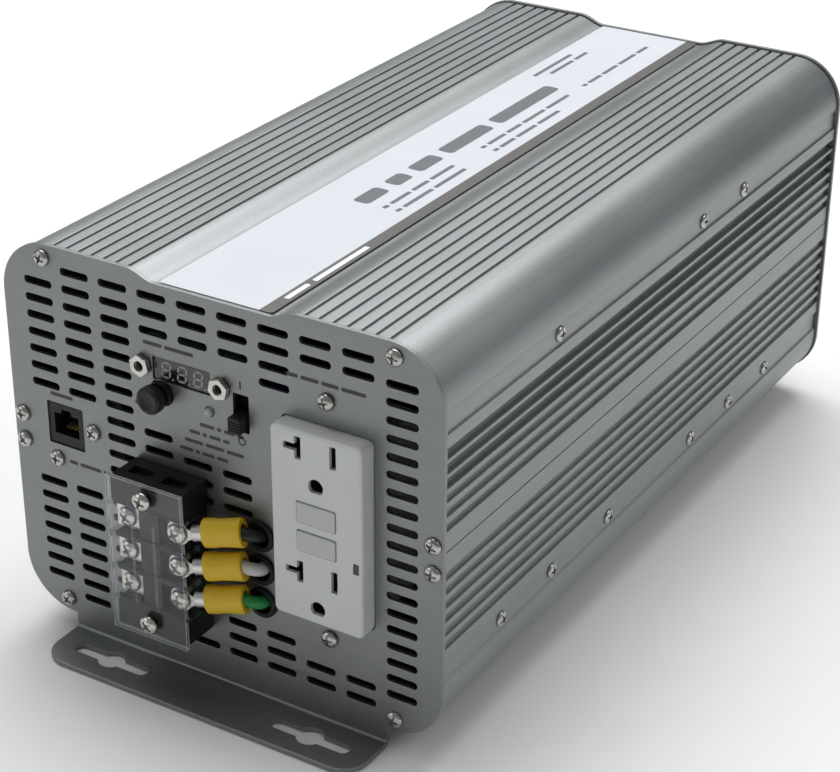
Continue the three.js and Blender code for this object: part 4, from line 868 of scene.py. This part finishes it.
front_holes = [
    rectangle(*OUTLET, *(side + 2 * OUTLET_GAP for side in OUTLET_SIZE), 2),
    rectangle(*DISPLAY, *(side + 0.6 for side in DISPLAY_SIZE), 0.5),
    rectangle(*JACK, *JACK_HOLE, 0.5), rectangle(*SWITCH, *SWITCH_HOLE, 0.4),
    circle(*FUNCTION, 4.5), circle(*LED, 1.8, 16),
    *(circle(x, DISPLAY[1], 2.7, 16) for x in DISPLAY_NUTS),
    *(circle(GROMMET_X, y + GROMMET_RISE, 4.5, 28) for y in TERMINAL_ROWS),
]
piece("front_plate", moved(panel("front_panel", 1, front_holes), ON_FRONT), PANEL, "front_panel")
rear_holes = [
    *(circle(x, FAN_HEIGHT, 26.5, 64) for x in FANS),
    *(circle(x, DC_HEIGHT, 9.3, 32) for x in DC_TERMINALS),
    circle(*GROUND_SCREW, 2.5, 16),
]
piece("rear_plate", moved(panel("rear_panel", -1, rear_holes), ON_REAR), PANEL, "rear_panel")

# ---- label and printed marks

label_low, label_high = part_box("top_label")
label_size = (label_high - label_low) / MM
LABEL_TOP = label_high.z / MM
film = plate([rectangle(0, 0, *label_size.xy, 1.2)], label_low.z / MM, LABEL_TOP, 0.08, 1)
piece("label_sheet", film, LABEL, "top_label")


def word_bars(left, y, height, lengths, gap=1.0):
    """A line of plain bars that stands for a line of small print."""
    loops, x = [], left
    for length in lengths:
        loops.append(rectangle(x + length / 2, y, length, height, height * 0.3, 2))
        x += length + gap
    return loops


def printed(name, loops, face, look, lift=0.02, depth=0.04):
    piece(name, moved(plate(loops, lift - depth, lift), face), look)


def along_label(across, start, height, lengths, gap):
    """Bars that run along the body, read from the right side."""
    loops, y = [], start
    for length in lengths:
        loops.append(rectangle(across, y + length / 2, height, length, height * 0.25, 2))
        y += length + gap
    return loops


ON_LABEL = facing((1, 0, 0), (0, 1, 0), (0, 0, LABEL_TOP))
printed("label_title", along_label(-3.2, -62, 6.4, (14, 10, 15, 30, 44), 5), ON_LABEL, GREY_INK)
small_lines = []
for across, start, lengths in ((6.0, -62, (3, 12, 10, 15)), (11.0, -62, (3, 18, 20)),
                               (6.0, 2, (3, 12, 10, 16, 17)), (11.0, 2, (3, 10, 14, 16)),
                               (6.0, 78, (3, 10, 12, 14, 9)), (-15.0, 78, (30,)),
                               (-11.0, 84, (18, 10))):
    small_lines += along_label(across, start, 1.7, lengths, 1.6)
printed("label_small_print", small_lines, ON_LABEL, GREY_INK)
printed("label_stripe_print", along_label(18.6, -136, 1.9, (12, 30), 3), ON_LABEL, PALE_INK)

legends = []
for x, y, height, lengths in (
        (-26.5, 44.0, 1.3, (7.2, 11.0)), (-31.0, 21.8, 1.3, (8.4,)), (-66.0, 15.2, 1.3, (9.2,)),
        (-6.0, 20.9, 1.2, (5.6, 1.6, 4.0, 2.4)), (-10.0, 17.5, 1.2, (4.0, 1.6, 4.2, 2.4)),
        (-12.0, 14.1, 1.2, (7.0, 7.0, 6.5)), (-14.0, 10.7, 1.2, (5.0, 1.6, 4.6, 4.2)),
        (-60.0, -8.4, 1.3, (3.4, 8.6, 5.6)), (27.0, 47.6, 1.3, (4.2, 6.4, 6.0, 8.6))):
    legends += word_bars(x, y, height, lengths)
printed("panel_legends", legends, ON_FRONT, DARK_INK)
marks = [rectangle(SWITCH[0], 38.6, 0.7, 2.8, 0.2, 2), circle(SWITCH[0], 19.4, 1.5, 20),
         circle(SWITCH[0], 19.4, 0.95, 20)]
printed("switch_marks", marks, ON_FRONT, DARK_INK)

# ---- duplex outlet

def ground_hole(x, y, radius=2.7):
    """A round hole with a flat at its foot."""
    return arc(x, y, radius, radians(-50), radians(230), 18)


face = plate([rectangle(*OUTLET, *OUTLET_SIZE, 2, 6)], -SHEET, OUTLET_PROUD, 1.0, 4)
slots = []
for y in SOCKETS:
    left, right = OUTLET[0] - BLADE_SPREAD, OUTLET[0] + BLADE_SPREAD
    low, high = OUTLET_PROUD - 5.2, OUTLET_PROUD + 2
    slots += [plate([rectangle(left, y, *BLADE, 0.3)], low, high),
              plate([rectangle(left - 2.6, y, 5.2, BLADE[0], 0.3)], low, high - 0.5),
              plate([rectangle(right, y, *BLADE, 0.3)], low, high),
              plate([ground_hole(OUTLET[0], y - GROUND_DROP)], low, high)]
button_wells = [plate([rectangle(OUTLET[0], y, BUTTON_SIZE[0] + 0.6, BUTTON_SIZE[1] + 0.6, 0.7)],
                      OUTLET_PROUD - 4.7, OUTLET_PROUD + 2) for y in BUTTONS.values()]
lamp_well = plate([rectangle(*LAMP, 2.2, 3.8, 0.3)], OUTLET_PROUD - 1.5, OUTLET_PROUD + 2)
face = rounded(carved(face, *slots, *button_wells, lamp_well), 0.12, 1, 60)
piece("outlet_front", moved(face, ON_FRONT), NYLON, "outlet_face")
# near-black sheets behind the sockets' slots stand for the shadow inside them, as painted shade
slot_shade_floors = merged(*(plate([rectangle(OUTLET[0] - 1.2, y, 18.5, 8.6, 0.6),
                         ground_hole(OUTLET[0], y - GROUND_DROP, 3)],
                        OUTLET_PROUD - 5.6, OUTLET_PROUD - 5.0) for y in SOCKETS))
piece("contact_shutters", moved(slot_shade_floors, ON_FRONT), PAINTED_HOLE_SHADE)
lamp = plate([rectangle(*LAMP, 2.0, 3.6, 0.3)], OUTLET_PROUD - 1.45, OUTLET_PROUD - 0.5, 0.15, 1)
piece("outlet_lamp", moved(lamp, ON_FRONT), WINDOW)
for name, y in BUTTONS.items():
    cap = plate([rectangle(OUTLET[0], y, *BUTTON_SIZE, 0.6)], OUTLET_PROUD - 3.4,
                OUTLET_PROUD + BUTTON_PROUD, 0.35, 3)
    piece(name + "_cap", moved(cap, ON_FRONT), BUTTON_NYLON, name, body=name + "_body")
    bars = word_bars(OUTLET[0] - 3.2, y, 1.1, (6.4,))
    mark = plate(bars, OUTLET_PROUD + BUTTON_PROUD - 0.03, OUTLET_PROUD + BUTTON_PROUD - 0.01)
    piece(name + "_mark", moved(mark, ON_FRONT), GREY_INK, body=name + "_body",
          slot="outlet_white")
refined("outlet_strap", NICKEL, 0.15)
refined("outlet_body", NYLON, 0.8, 3)

# ---- display and controls

window = plate([rectangle(*DISPLAY, *DISPLAY_SIZE, 0.4)], -7.0, -0.5, 0.1, 1)
piece("display_window", moved(window, ON_FRONT), WINDOW, "display_module")


def segment(x, y, length, upright, width=0.75):
    half, point = length / 2, width / 2
    outline = [(-half, 0), (-half + point, point), (half - point, point), (half, 0),
               (half - point, -point), (-half + point, -point)]
    if upright:
        outline = [(-v, u) for u, v in outline]
    return [(x + u + 0.12 * v, y + v) for u, v in outline]


segments = []
for k in range(3):
    x = DISPLAY[0] + (k - 1) * DIGIT_PITCH
    for dy in (-2.5, 0, 2.5):
        segments.append(segment(x + 0.1 * dy, DISPLAY[1] + dy, 2.6, False))
    for dx in (-1.5, 1.5):
        for dy in (-1.25, 1.25):
            segments.append(segment(x + dx + 0.1 * dy, DISPLAY[1] + dy, 2.2, True))
    segments.append(circle(x + 2.5, DISPLAY[1] - 2.7, 0.4, 10))
printed("display_segments", segments, ON_FRONT, SEGMENT, -0.47, 0.03)

hexagon = [(NUT_RADIUS * cos(a), NUT_RADIUS * sin(a))
           for a in (pi / 6 + pi / 3 * k for k in range(6))]
nut = merged(plate([hexagon, circle(0, 0, 1.7, 20)], 0.3, 2.1, 0.25, 2),
             plate([circle(0, 0, 2.4, 20), circle(0, 0, 1.6, 20)], -6.8, 1.2))
repeats("display_nuts", nut, [front(x, DISPLAY[1], 0, 0.3 * x) for x in DISPLAY_NUTS],
        NICKEL, "display_nut_left", "display_nut_right")
# painted shade: a near-black disc in each nut's bore stands for the shadow inside it
hole_shade_disc = lathe([(0, -2.6), (1.55, -2.6), (1.55, -0.4), (0, -0.4)], 20)
piece("nut_plugs", moved(hole_shade_disc, *(front(x, DISPLAY[1]) for x in DISPLAY_NUTS)),
      PAINTED_HOLE_SHADE)
refined("display_board", BOARD, 0.1, 1)

knob = lathe([(0, -2), (3.1, -2), (3.1, 4.1), (4.35, 4.1), (4.6, 4.35), (4.6, 6.6), (4.4, 7.1),
              (3.95, 7.45), (3.4, 7.6), (3.0, 7.5), (2.2, 7.15), (1.2, 6.95), (0, 6.9)], 40)
piece("function_knob", moved(knob, front(*FUNCTION)), BLACK,
      "function_button", body="function_button_body")
collar = lathe([(4.2, -4.5), (4.2, 1.9), (3.95, 2.3), (3.55, 2.3), (3.4, 2.1), (3.4, -4.5)], 40)
piece("function_bezel", moved(collar, front(*FUNCTION)), BLACK)
refined("function_switch", BLACK, 0.2)

lens = lathe([(0, -5.5), (2, -5.5), (2, -1.8), (1.5, -1.8), (1.5, 0.5), (1.38, 0.95), (1.1, 1.3),
              (0.6, 1.53), (0, 1.6)], 24)
piece("led_lens", moved(lens, front(*LED)), LENS, "status_led")

refined("power_switch_body", BLACK, 0.3)
slider_low, slider_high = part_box("power_switch_slider")
slider_y = (slider_low.z + slider_high.z) / 2 / MM - CENTRE
grip = plate([rectangle(SWITCH[0], slider_y, 4.6, 5.4, 0.5)], -4.5, 4.2, 0.35, 3)
nicks = [plate([rectangle(SWITCH[0], slider_y + dy, 6, 0.35)], 3.85, 5)
         for dy in (-1.4, -0.5, 0.4, 1.3)]
piece("switch_slider", moved(carved(grip, *nicks), ON_FRONT), BLACK,
      "power_switch_slider", body="power_switch_slider_body")

refined("remote_jack", BLACK, 0.25)
pins = merged(*(tube([(JACK[0] + dx, JACK[1] + y, z) for y, z in (
    (-3.2, -9.6), (-2.6, -3.2), (-0.6, -5.4), (1.6, -9.6))], 0.18, 2)
                for dx in (-2.5, -1.5, -0.5, 0.5, 1.5, 2.5)))
piece("jack_contacts", moved(pins, ON_FRONT), GOLD)

# ---- AC terminal block

refined("terminal_block", BAKELITE, 0.35)
refined("terminal_cover", COVER, 0.3)
ribs = merged(*(plate([rectangle(x, -26.6, 1.3, 31.8, 0.6)], COVER_PROUD + 0.03, COVER_PROUD + 0.7,
                      0.2, 2) for x in COVER_RIBS))
piece("cover_ribs", moved(ribs, ON_FRONT), COVER)
spare = plate([rectangle(0, 0, 8.6, 8.4, 0.6), circle(0, 0, 2, 16)],
              TERMINAL_BASE + 0.02, 11.0, 0.12, 1)
piece("spare_clamps", moved(spare, *(front(TERMINAL_COLUMNS[0], y) for y in TERMINAL_ROWS)),
      NICKEL)

DIRECTION = Vector((cos(LUG_LEAN) * cos(LUG_RISE), sin(LUG_RISE),
                    -sin(LUG_LEAN) * cos(LUG_RISE)))


def on_lug(row, along):
    """A point on a lug's axis, in the front panel's frame."""
    return Vector((TERMINAL_COLUMNS[1], row, RING[1])) + DIRECTION * along


def along_lug(row):
    """A lug's own frame: x across the panel, y away from it, z along the barrel."""
    tall = (Vector((0, 1, 0)) - DIRECTION * DIRECTION.y).normalized()
    turn = Matrix((tall, DIRECTION.cross(tall), DIRECTION)).transposed()
    return ON_FRONT @ Matrix.Translation(on_lug(row, 0)) @ turn.to_4x4()


sleeve = lathe([(3.6, 9.45), (4.75, 9.45), (4.95, 9.65), (4.98, 12.6), (4.78, 13.6), (4.72, 15.5),
                (4.82, 18), (4.95, 20.5), (4.98, 22.2), (4.8, 22.45), (2.95, 22.45), (2.95, 21.6),
                (3.6, 20.6)], 48)
sleeve.transform(Matrix.Scale(SLEEVE_FLATTENING, 4, (0, 1, 0)))
barrel = lathe([(0, 5.2), (2.6, 5.2), (3, 5.6), (3, 16.7), (2.7, 17.2), (2.2, 17.2), (2.2, 16.4),
                (0, 16.4)], 40)
barrel.transform(Matrix.Scale(LUG_FLATTENING, 4, (0, 1, 0)))
tongue = [(1.5, -2.5), (3.4, -2.0), (5.0, -1.1), (5.4, -0.6), (5.4, 1.7), (5.0, 2.2), (3.4, 2.6),
          (1.5, 2.5)]
ring = plate([circle(0, 0, 4.2, 40), circle(0, 0, 2.1, 24)], *RING, 0.12, 1)
neck = plate([tongue], RING[0] + 0.02, RING[1] - 0.02, 0.12, 1)
for number, row in enumerate(TERMINAL_ROWS, 1):
    eye = moved(merged(ring, neck), front(TERMINAL_COLUMNS[1], row))
    piece(f"lug_crimp_{number}", merged(eye, moved(barrel, along_lug(row))), TIN, f"lug_{number}")
    piece(f"lug_insulator_{number}", moved(sleeve, along_lug(row)), YELLOW, f"lug_sleeve_{number}")


def bend(start, middle, end, count=12):
    steps = [k / count for k in range(count + 1)]
    return [start * (1 - t) ** 2 + middle * 2 * t * (1 - t) + end * t * t for t in steps]


for k, (row, look) in enumerate(zip(TERMINAL_ROWS, WIRES)):
    height = row + WIRE_RISE
    drop = -(SHEET + WIRE_RUN + (3 - k) * WIRE_BEND)
    leave = on_lug(row, 21.5)
    corner = Vector((WIRE_X, (leave.y + height) / 2, on_lug(row, 26.7).z))
    route = bend(on_lug(row, 17.6), on_lug(row, 19.5), leave, 4)
    route += bend(leave, corner, Vector((WIRE_X, height, 1.0)), 16)[1:]
    route += bend(Vector((WIRE_X, height, drop + WIRE_BEND)), Vector((WIRE_X, height, drop)),
                  Vector((WIRE_X, height - WIRE_BEND, drop)), 10)
    route.append(Vector((WIRE_X, BOARD_TOP + 0.3, drop)))
    piece(f"ac_lead_{k + 1}", moved(tube(route, WIRE_RADIUS, 5), ON_FRONT), look,
          f"ac_wire_{k + 1}")

collar = lathe([(3.7, -3.3), (5.4, -3.3), (5.4, -1.8), (4.2, -1.8), (4.2, 0.3), (5.2, 0.3),
                (5.4, 0.5), (5.35, 0.85), (5.1, 1.15), (4.7, 1.3), (4.0, 1.28), (3.75, 1.1)], 40)
mouths = [front(GROMMET_X, y + GROMMET_RISE) for y in TERMINAL_ROWS]
repeats("wire_grommets", collar, mouths, RUBBER, "grommet_1", "grommet_2", "grommet_3")

# ---- fans

def fan_blade():
    """One curved, twisted blade, rooted on the hub and pointing up."""
    bm = bmesh.new()
    rows = []
    inner, outer, spans, chords = 11.5, 26.4, 8, 8
    for i in range(spans + 1):
        t = i / spans
        radius = inner + (outer - inner) * t
        pitch = radians(48 - 16 * t)
        half = 6.4 + 1.2 * t
        row = []
        for j in range(chords + 1):
            s = 2 * j / chords - 1
            camber = 1.3 * (1 - s * s)
            u = s * half * cos(pitch) + camber * sin(pitch)
            w = s * half * sin(pitch) - camber * cos(pitch)
            angle = u / radius + 0.22 * t
            row.append(bm.verts.new((radius * sin(angle), radius * cos(angle), w)))
        rows.append(row)
    for low, high in zip(rows, rows[1:]):
        for j in range(chords):
            bm.faces.new((low[j], low[j + 1], high[j + 1], high[j]))
    return evaluated(mesh_of(bm), ("SOLIDIFY", {"thickness": 1.1, "offset": 0.0}))


blade = fan_blade()
middle = (ROTOR_FRONT + ROTOR_BACK) / 2
hub = lathe([(0, ROTOR_BACK), (11.7, ROTOR_BACK), (12, ROTOR_BACK + 0.3), (12, ROTOR_FRONT - 0.8),
             (11.8, ROTOR_FRONT - 0.3), (11.2, ROTOR_FRONT), (9.2, ROTOR_FRONT),
             (8.9, ROTOR_FRONT - 0.35), (0, ROTOR_FRONT - 0.35)], 48)
rotor = merged(hub, moved(blade, *(at(0, 0, middle, 2 * pi * k / FAN_BLADES)
                                   for k in range(FAN_BLADES))))
guard_rings = merged(*(tube([(*p, GUARD_HEIGHT) for p in circle(0, 0, r, 64)], 0.62, 2, True)
                       for r in GUARD_RINGS))
reach = 36 * sqrt(0.5)
arms = [tube([(-reach * a, -reach, 0.9), (reach * a, reach, 0.9)], 0.6, 2) for a in (1, -1)]
eyes = [tube([(*p, GUARD_HEIGHT) for p in circle(a * FAN_HOLES, b * FAN_HOLES, 2.9, 20)],
             0.6, 2, True) for a in (-1, 1) for b in (-1, 1)]
guard = merged(guard_rings, *arms, *eyes)
hub_badge = plate([circle(0, 0, 8.4, 48)], ROTOR_FRONT - 0.36, ROTOR_FRONT - 0.22, 0.04, 1)
for side, x in zip(("right", "left"), FANS):
    where = rear(x, FAN_HEIGHT)
    refined(f"fan_frame_{side}", FAN_PLASTIC, 0.35)
    body = f"fan_rotor_{side}_body"
    piece(f"fan_blades_{side}", moved(rotor, where), FAN_PLASTIC, f"fan_rotor_{side}", body=body)
    piece(f"fan_hub_disc_{side}", moved(hub_badge, where), GREY_INK, body=body,
          slot="black_plastic")
    piece(f"fan_wire_guard_{side}", moved(guard, where), NICKEL, f"fan_guard_{side}")

# ---- DC terminals

def threaded(radius, low, high, pitch=1.25):
    """A stud with a chamfered end and a ring of thread at each pitch."""
    profile = [(0, low), (radius - 0.5, low)]
    z = low + 0.6
    while z + pitch < high - 0.6:
        profile += [(radius - 0.55, z), (radius, z + pitch * 0.4), (radius, z + pitch * 0.55)]
        z += pitch
    profile += [(radius - 0.55, z), (radius - 0.6, high - 0.4), (radius - 1.0, high), (0, high)]
    return lathe(profile, 28)


bush = lathe([(9, -9.5), (9, 0.3), (12.6, 0.3), (13, 0.7), (13, 6.1), (12.7, 6.8), (12.0, 7.3),
              (7.6, 7.3), (7.2, 6.9), (4.3, 6.9), (4.3, -9.5)], 56)
notch = plate([rectangle(0, 0, 1.6, 1.8)], 1.2, 9)
bush = carved(bush, moved(notch, *(at(0, 0, 0, k * pi / 6) @ at(13.2, 0) for k in range(12))))
nut_outline = [(7.5 * cos(k * pi / 3), 7.5 * sin(k * pi / 3)) for k in range(6)]
big_nut = merged(plate([nut_outline, circle(0, 0, 4.05, 32)], 8.9, 14.1, 0.45, 2),
                 plate([circle(0, 0, 8.2, 40), circle(0, 0, 4.3, 32)], 7.65, 8.75, 0.15, 1))
stud = threaded(4.0, -15.5, 19)
for pole, x, look in zip(("negative", "positive"), DC_TERMINALS, (BLACK, RED)):
    where = rear(x, DC_HEIGHT)
    piece(f"dc_insulator_{pole}", moved(bush, where), look, f"dc_bush_{pole}")
    piece(f"dc_thread_{pole}", moved(stud, where), BRASS, f"dc_stud_{pole}")
    piece(f"dc_fixing_{pole}", moved(big_nut, where), NICKEL, f"dc_nut_{pole}")
piece("ground_terminal", moved(merged(cross_head(4.5, 3.0, 2.2, 6.5, 40),
                                      plate([circle(0, 0, 5.6, 40)], -0.28, -0.02, 0.1, 1)),
                               rear(*GROUND_SCREW, WASHER)), BRASS, "ground_screw")

# ---- electronics

refined("main_board", BOARD, 0.15, 1)
for side in ("left", "right"):
    refined(f"heat_bar_{side}", ALUMINIUM, 0.4)
    refined(f"transformer_{side}", FERRITE, 1.2, 3)
refined("bus_capacitor", SLEEVE_BLUE, 1.0, 3)

# ---- studio

def studio_surface(name, strength):
    f = Finish(name, Roughness=0.85)
    soft = f.noise(900, 1)
    return f.done(Base_Color=f.mix(soft, (strength,) * 3, (strength + 0.01,) * 3))


floor = bpy.data.meshes.new("floor")
floor.from_pydata([(x, y, -0.0004) for x, y in rectangle(0, 0, 8, 8)], [], [(0, 1, 2, 3)])
floor.materials.append(studio_surface("pale_floor", 0.86))
ground = added("floor", floor)


def softbox(name, place, target, width, height, power):
    light = bpy.data.lights.new(name, "AREA")
    light.shape = "RECTANGLE"
    light.size, light.size_y = width, height
    light.energy = power
    lamp = added(name, light)
    lamp.location = place
    lamp.rotation_euler = (Vector(target) - Vector(place)).to_track_quat("-Z", "Y").to_euler()


middle_point = (0, 0, 0.075)
softbox("overhead", (-0.35, 0.45, 1.5), middle_point, 1.5, 1.6, 30)
softbox("front_left", (-1.2, -1.3, 0.6), middle_point, 0.8, 0.8, 2.5)
softbox("floor_fill", (1.3, 0.6, 1.3), (1.0, 0.3, 0), 0.9, 0.9, 7)

world = bpy.data.worlds.new("studio")
world.use_nodes = True
sky = world.node_tree.nodes["Background"].inputs
sky["Color"].default_value = (0.92, 0.94, 0.97, 1)
sky["Strength"].default_value = 0.24
bpy.context.scene.world = world
bpy.context.scene.view_settings.view_transform = "Standard"

lens = bpy.data.cameras.new("camera")
lens.sensor_width = 36.0
lens.lens = 92.24
lens.clip_end = 20
camera = added("camera", lens)
camera.location = (0.3552, -0.6113, 0.4118)
camera.rotation_mode = "QUATERNION"
camera.rotation_quaternion = Quaternion((0.822161, 0.500239, 0.138786, 0.233561))
bpy.context.scene.camera = camera
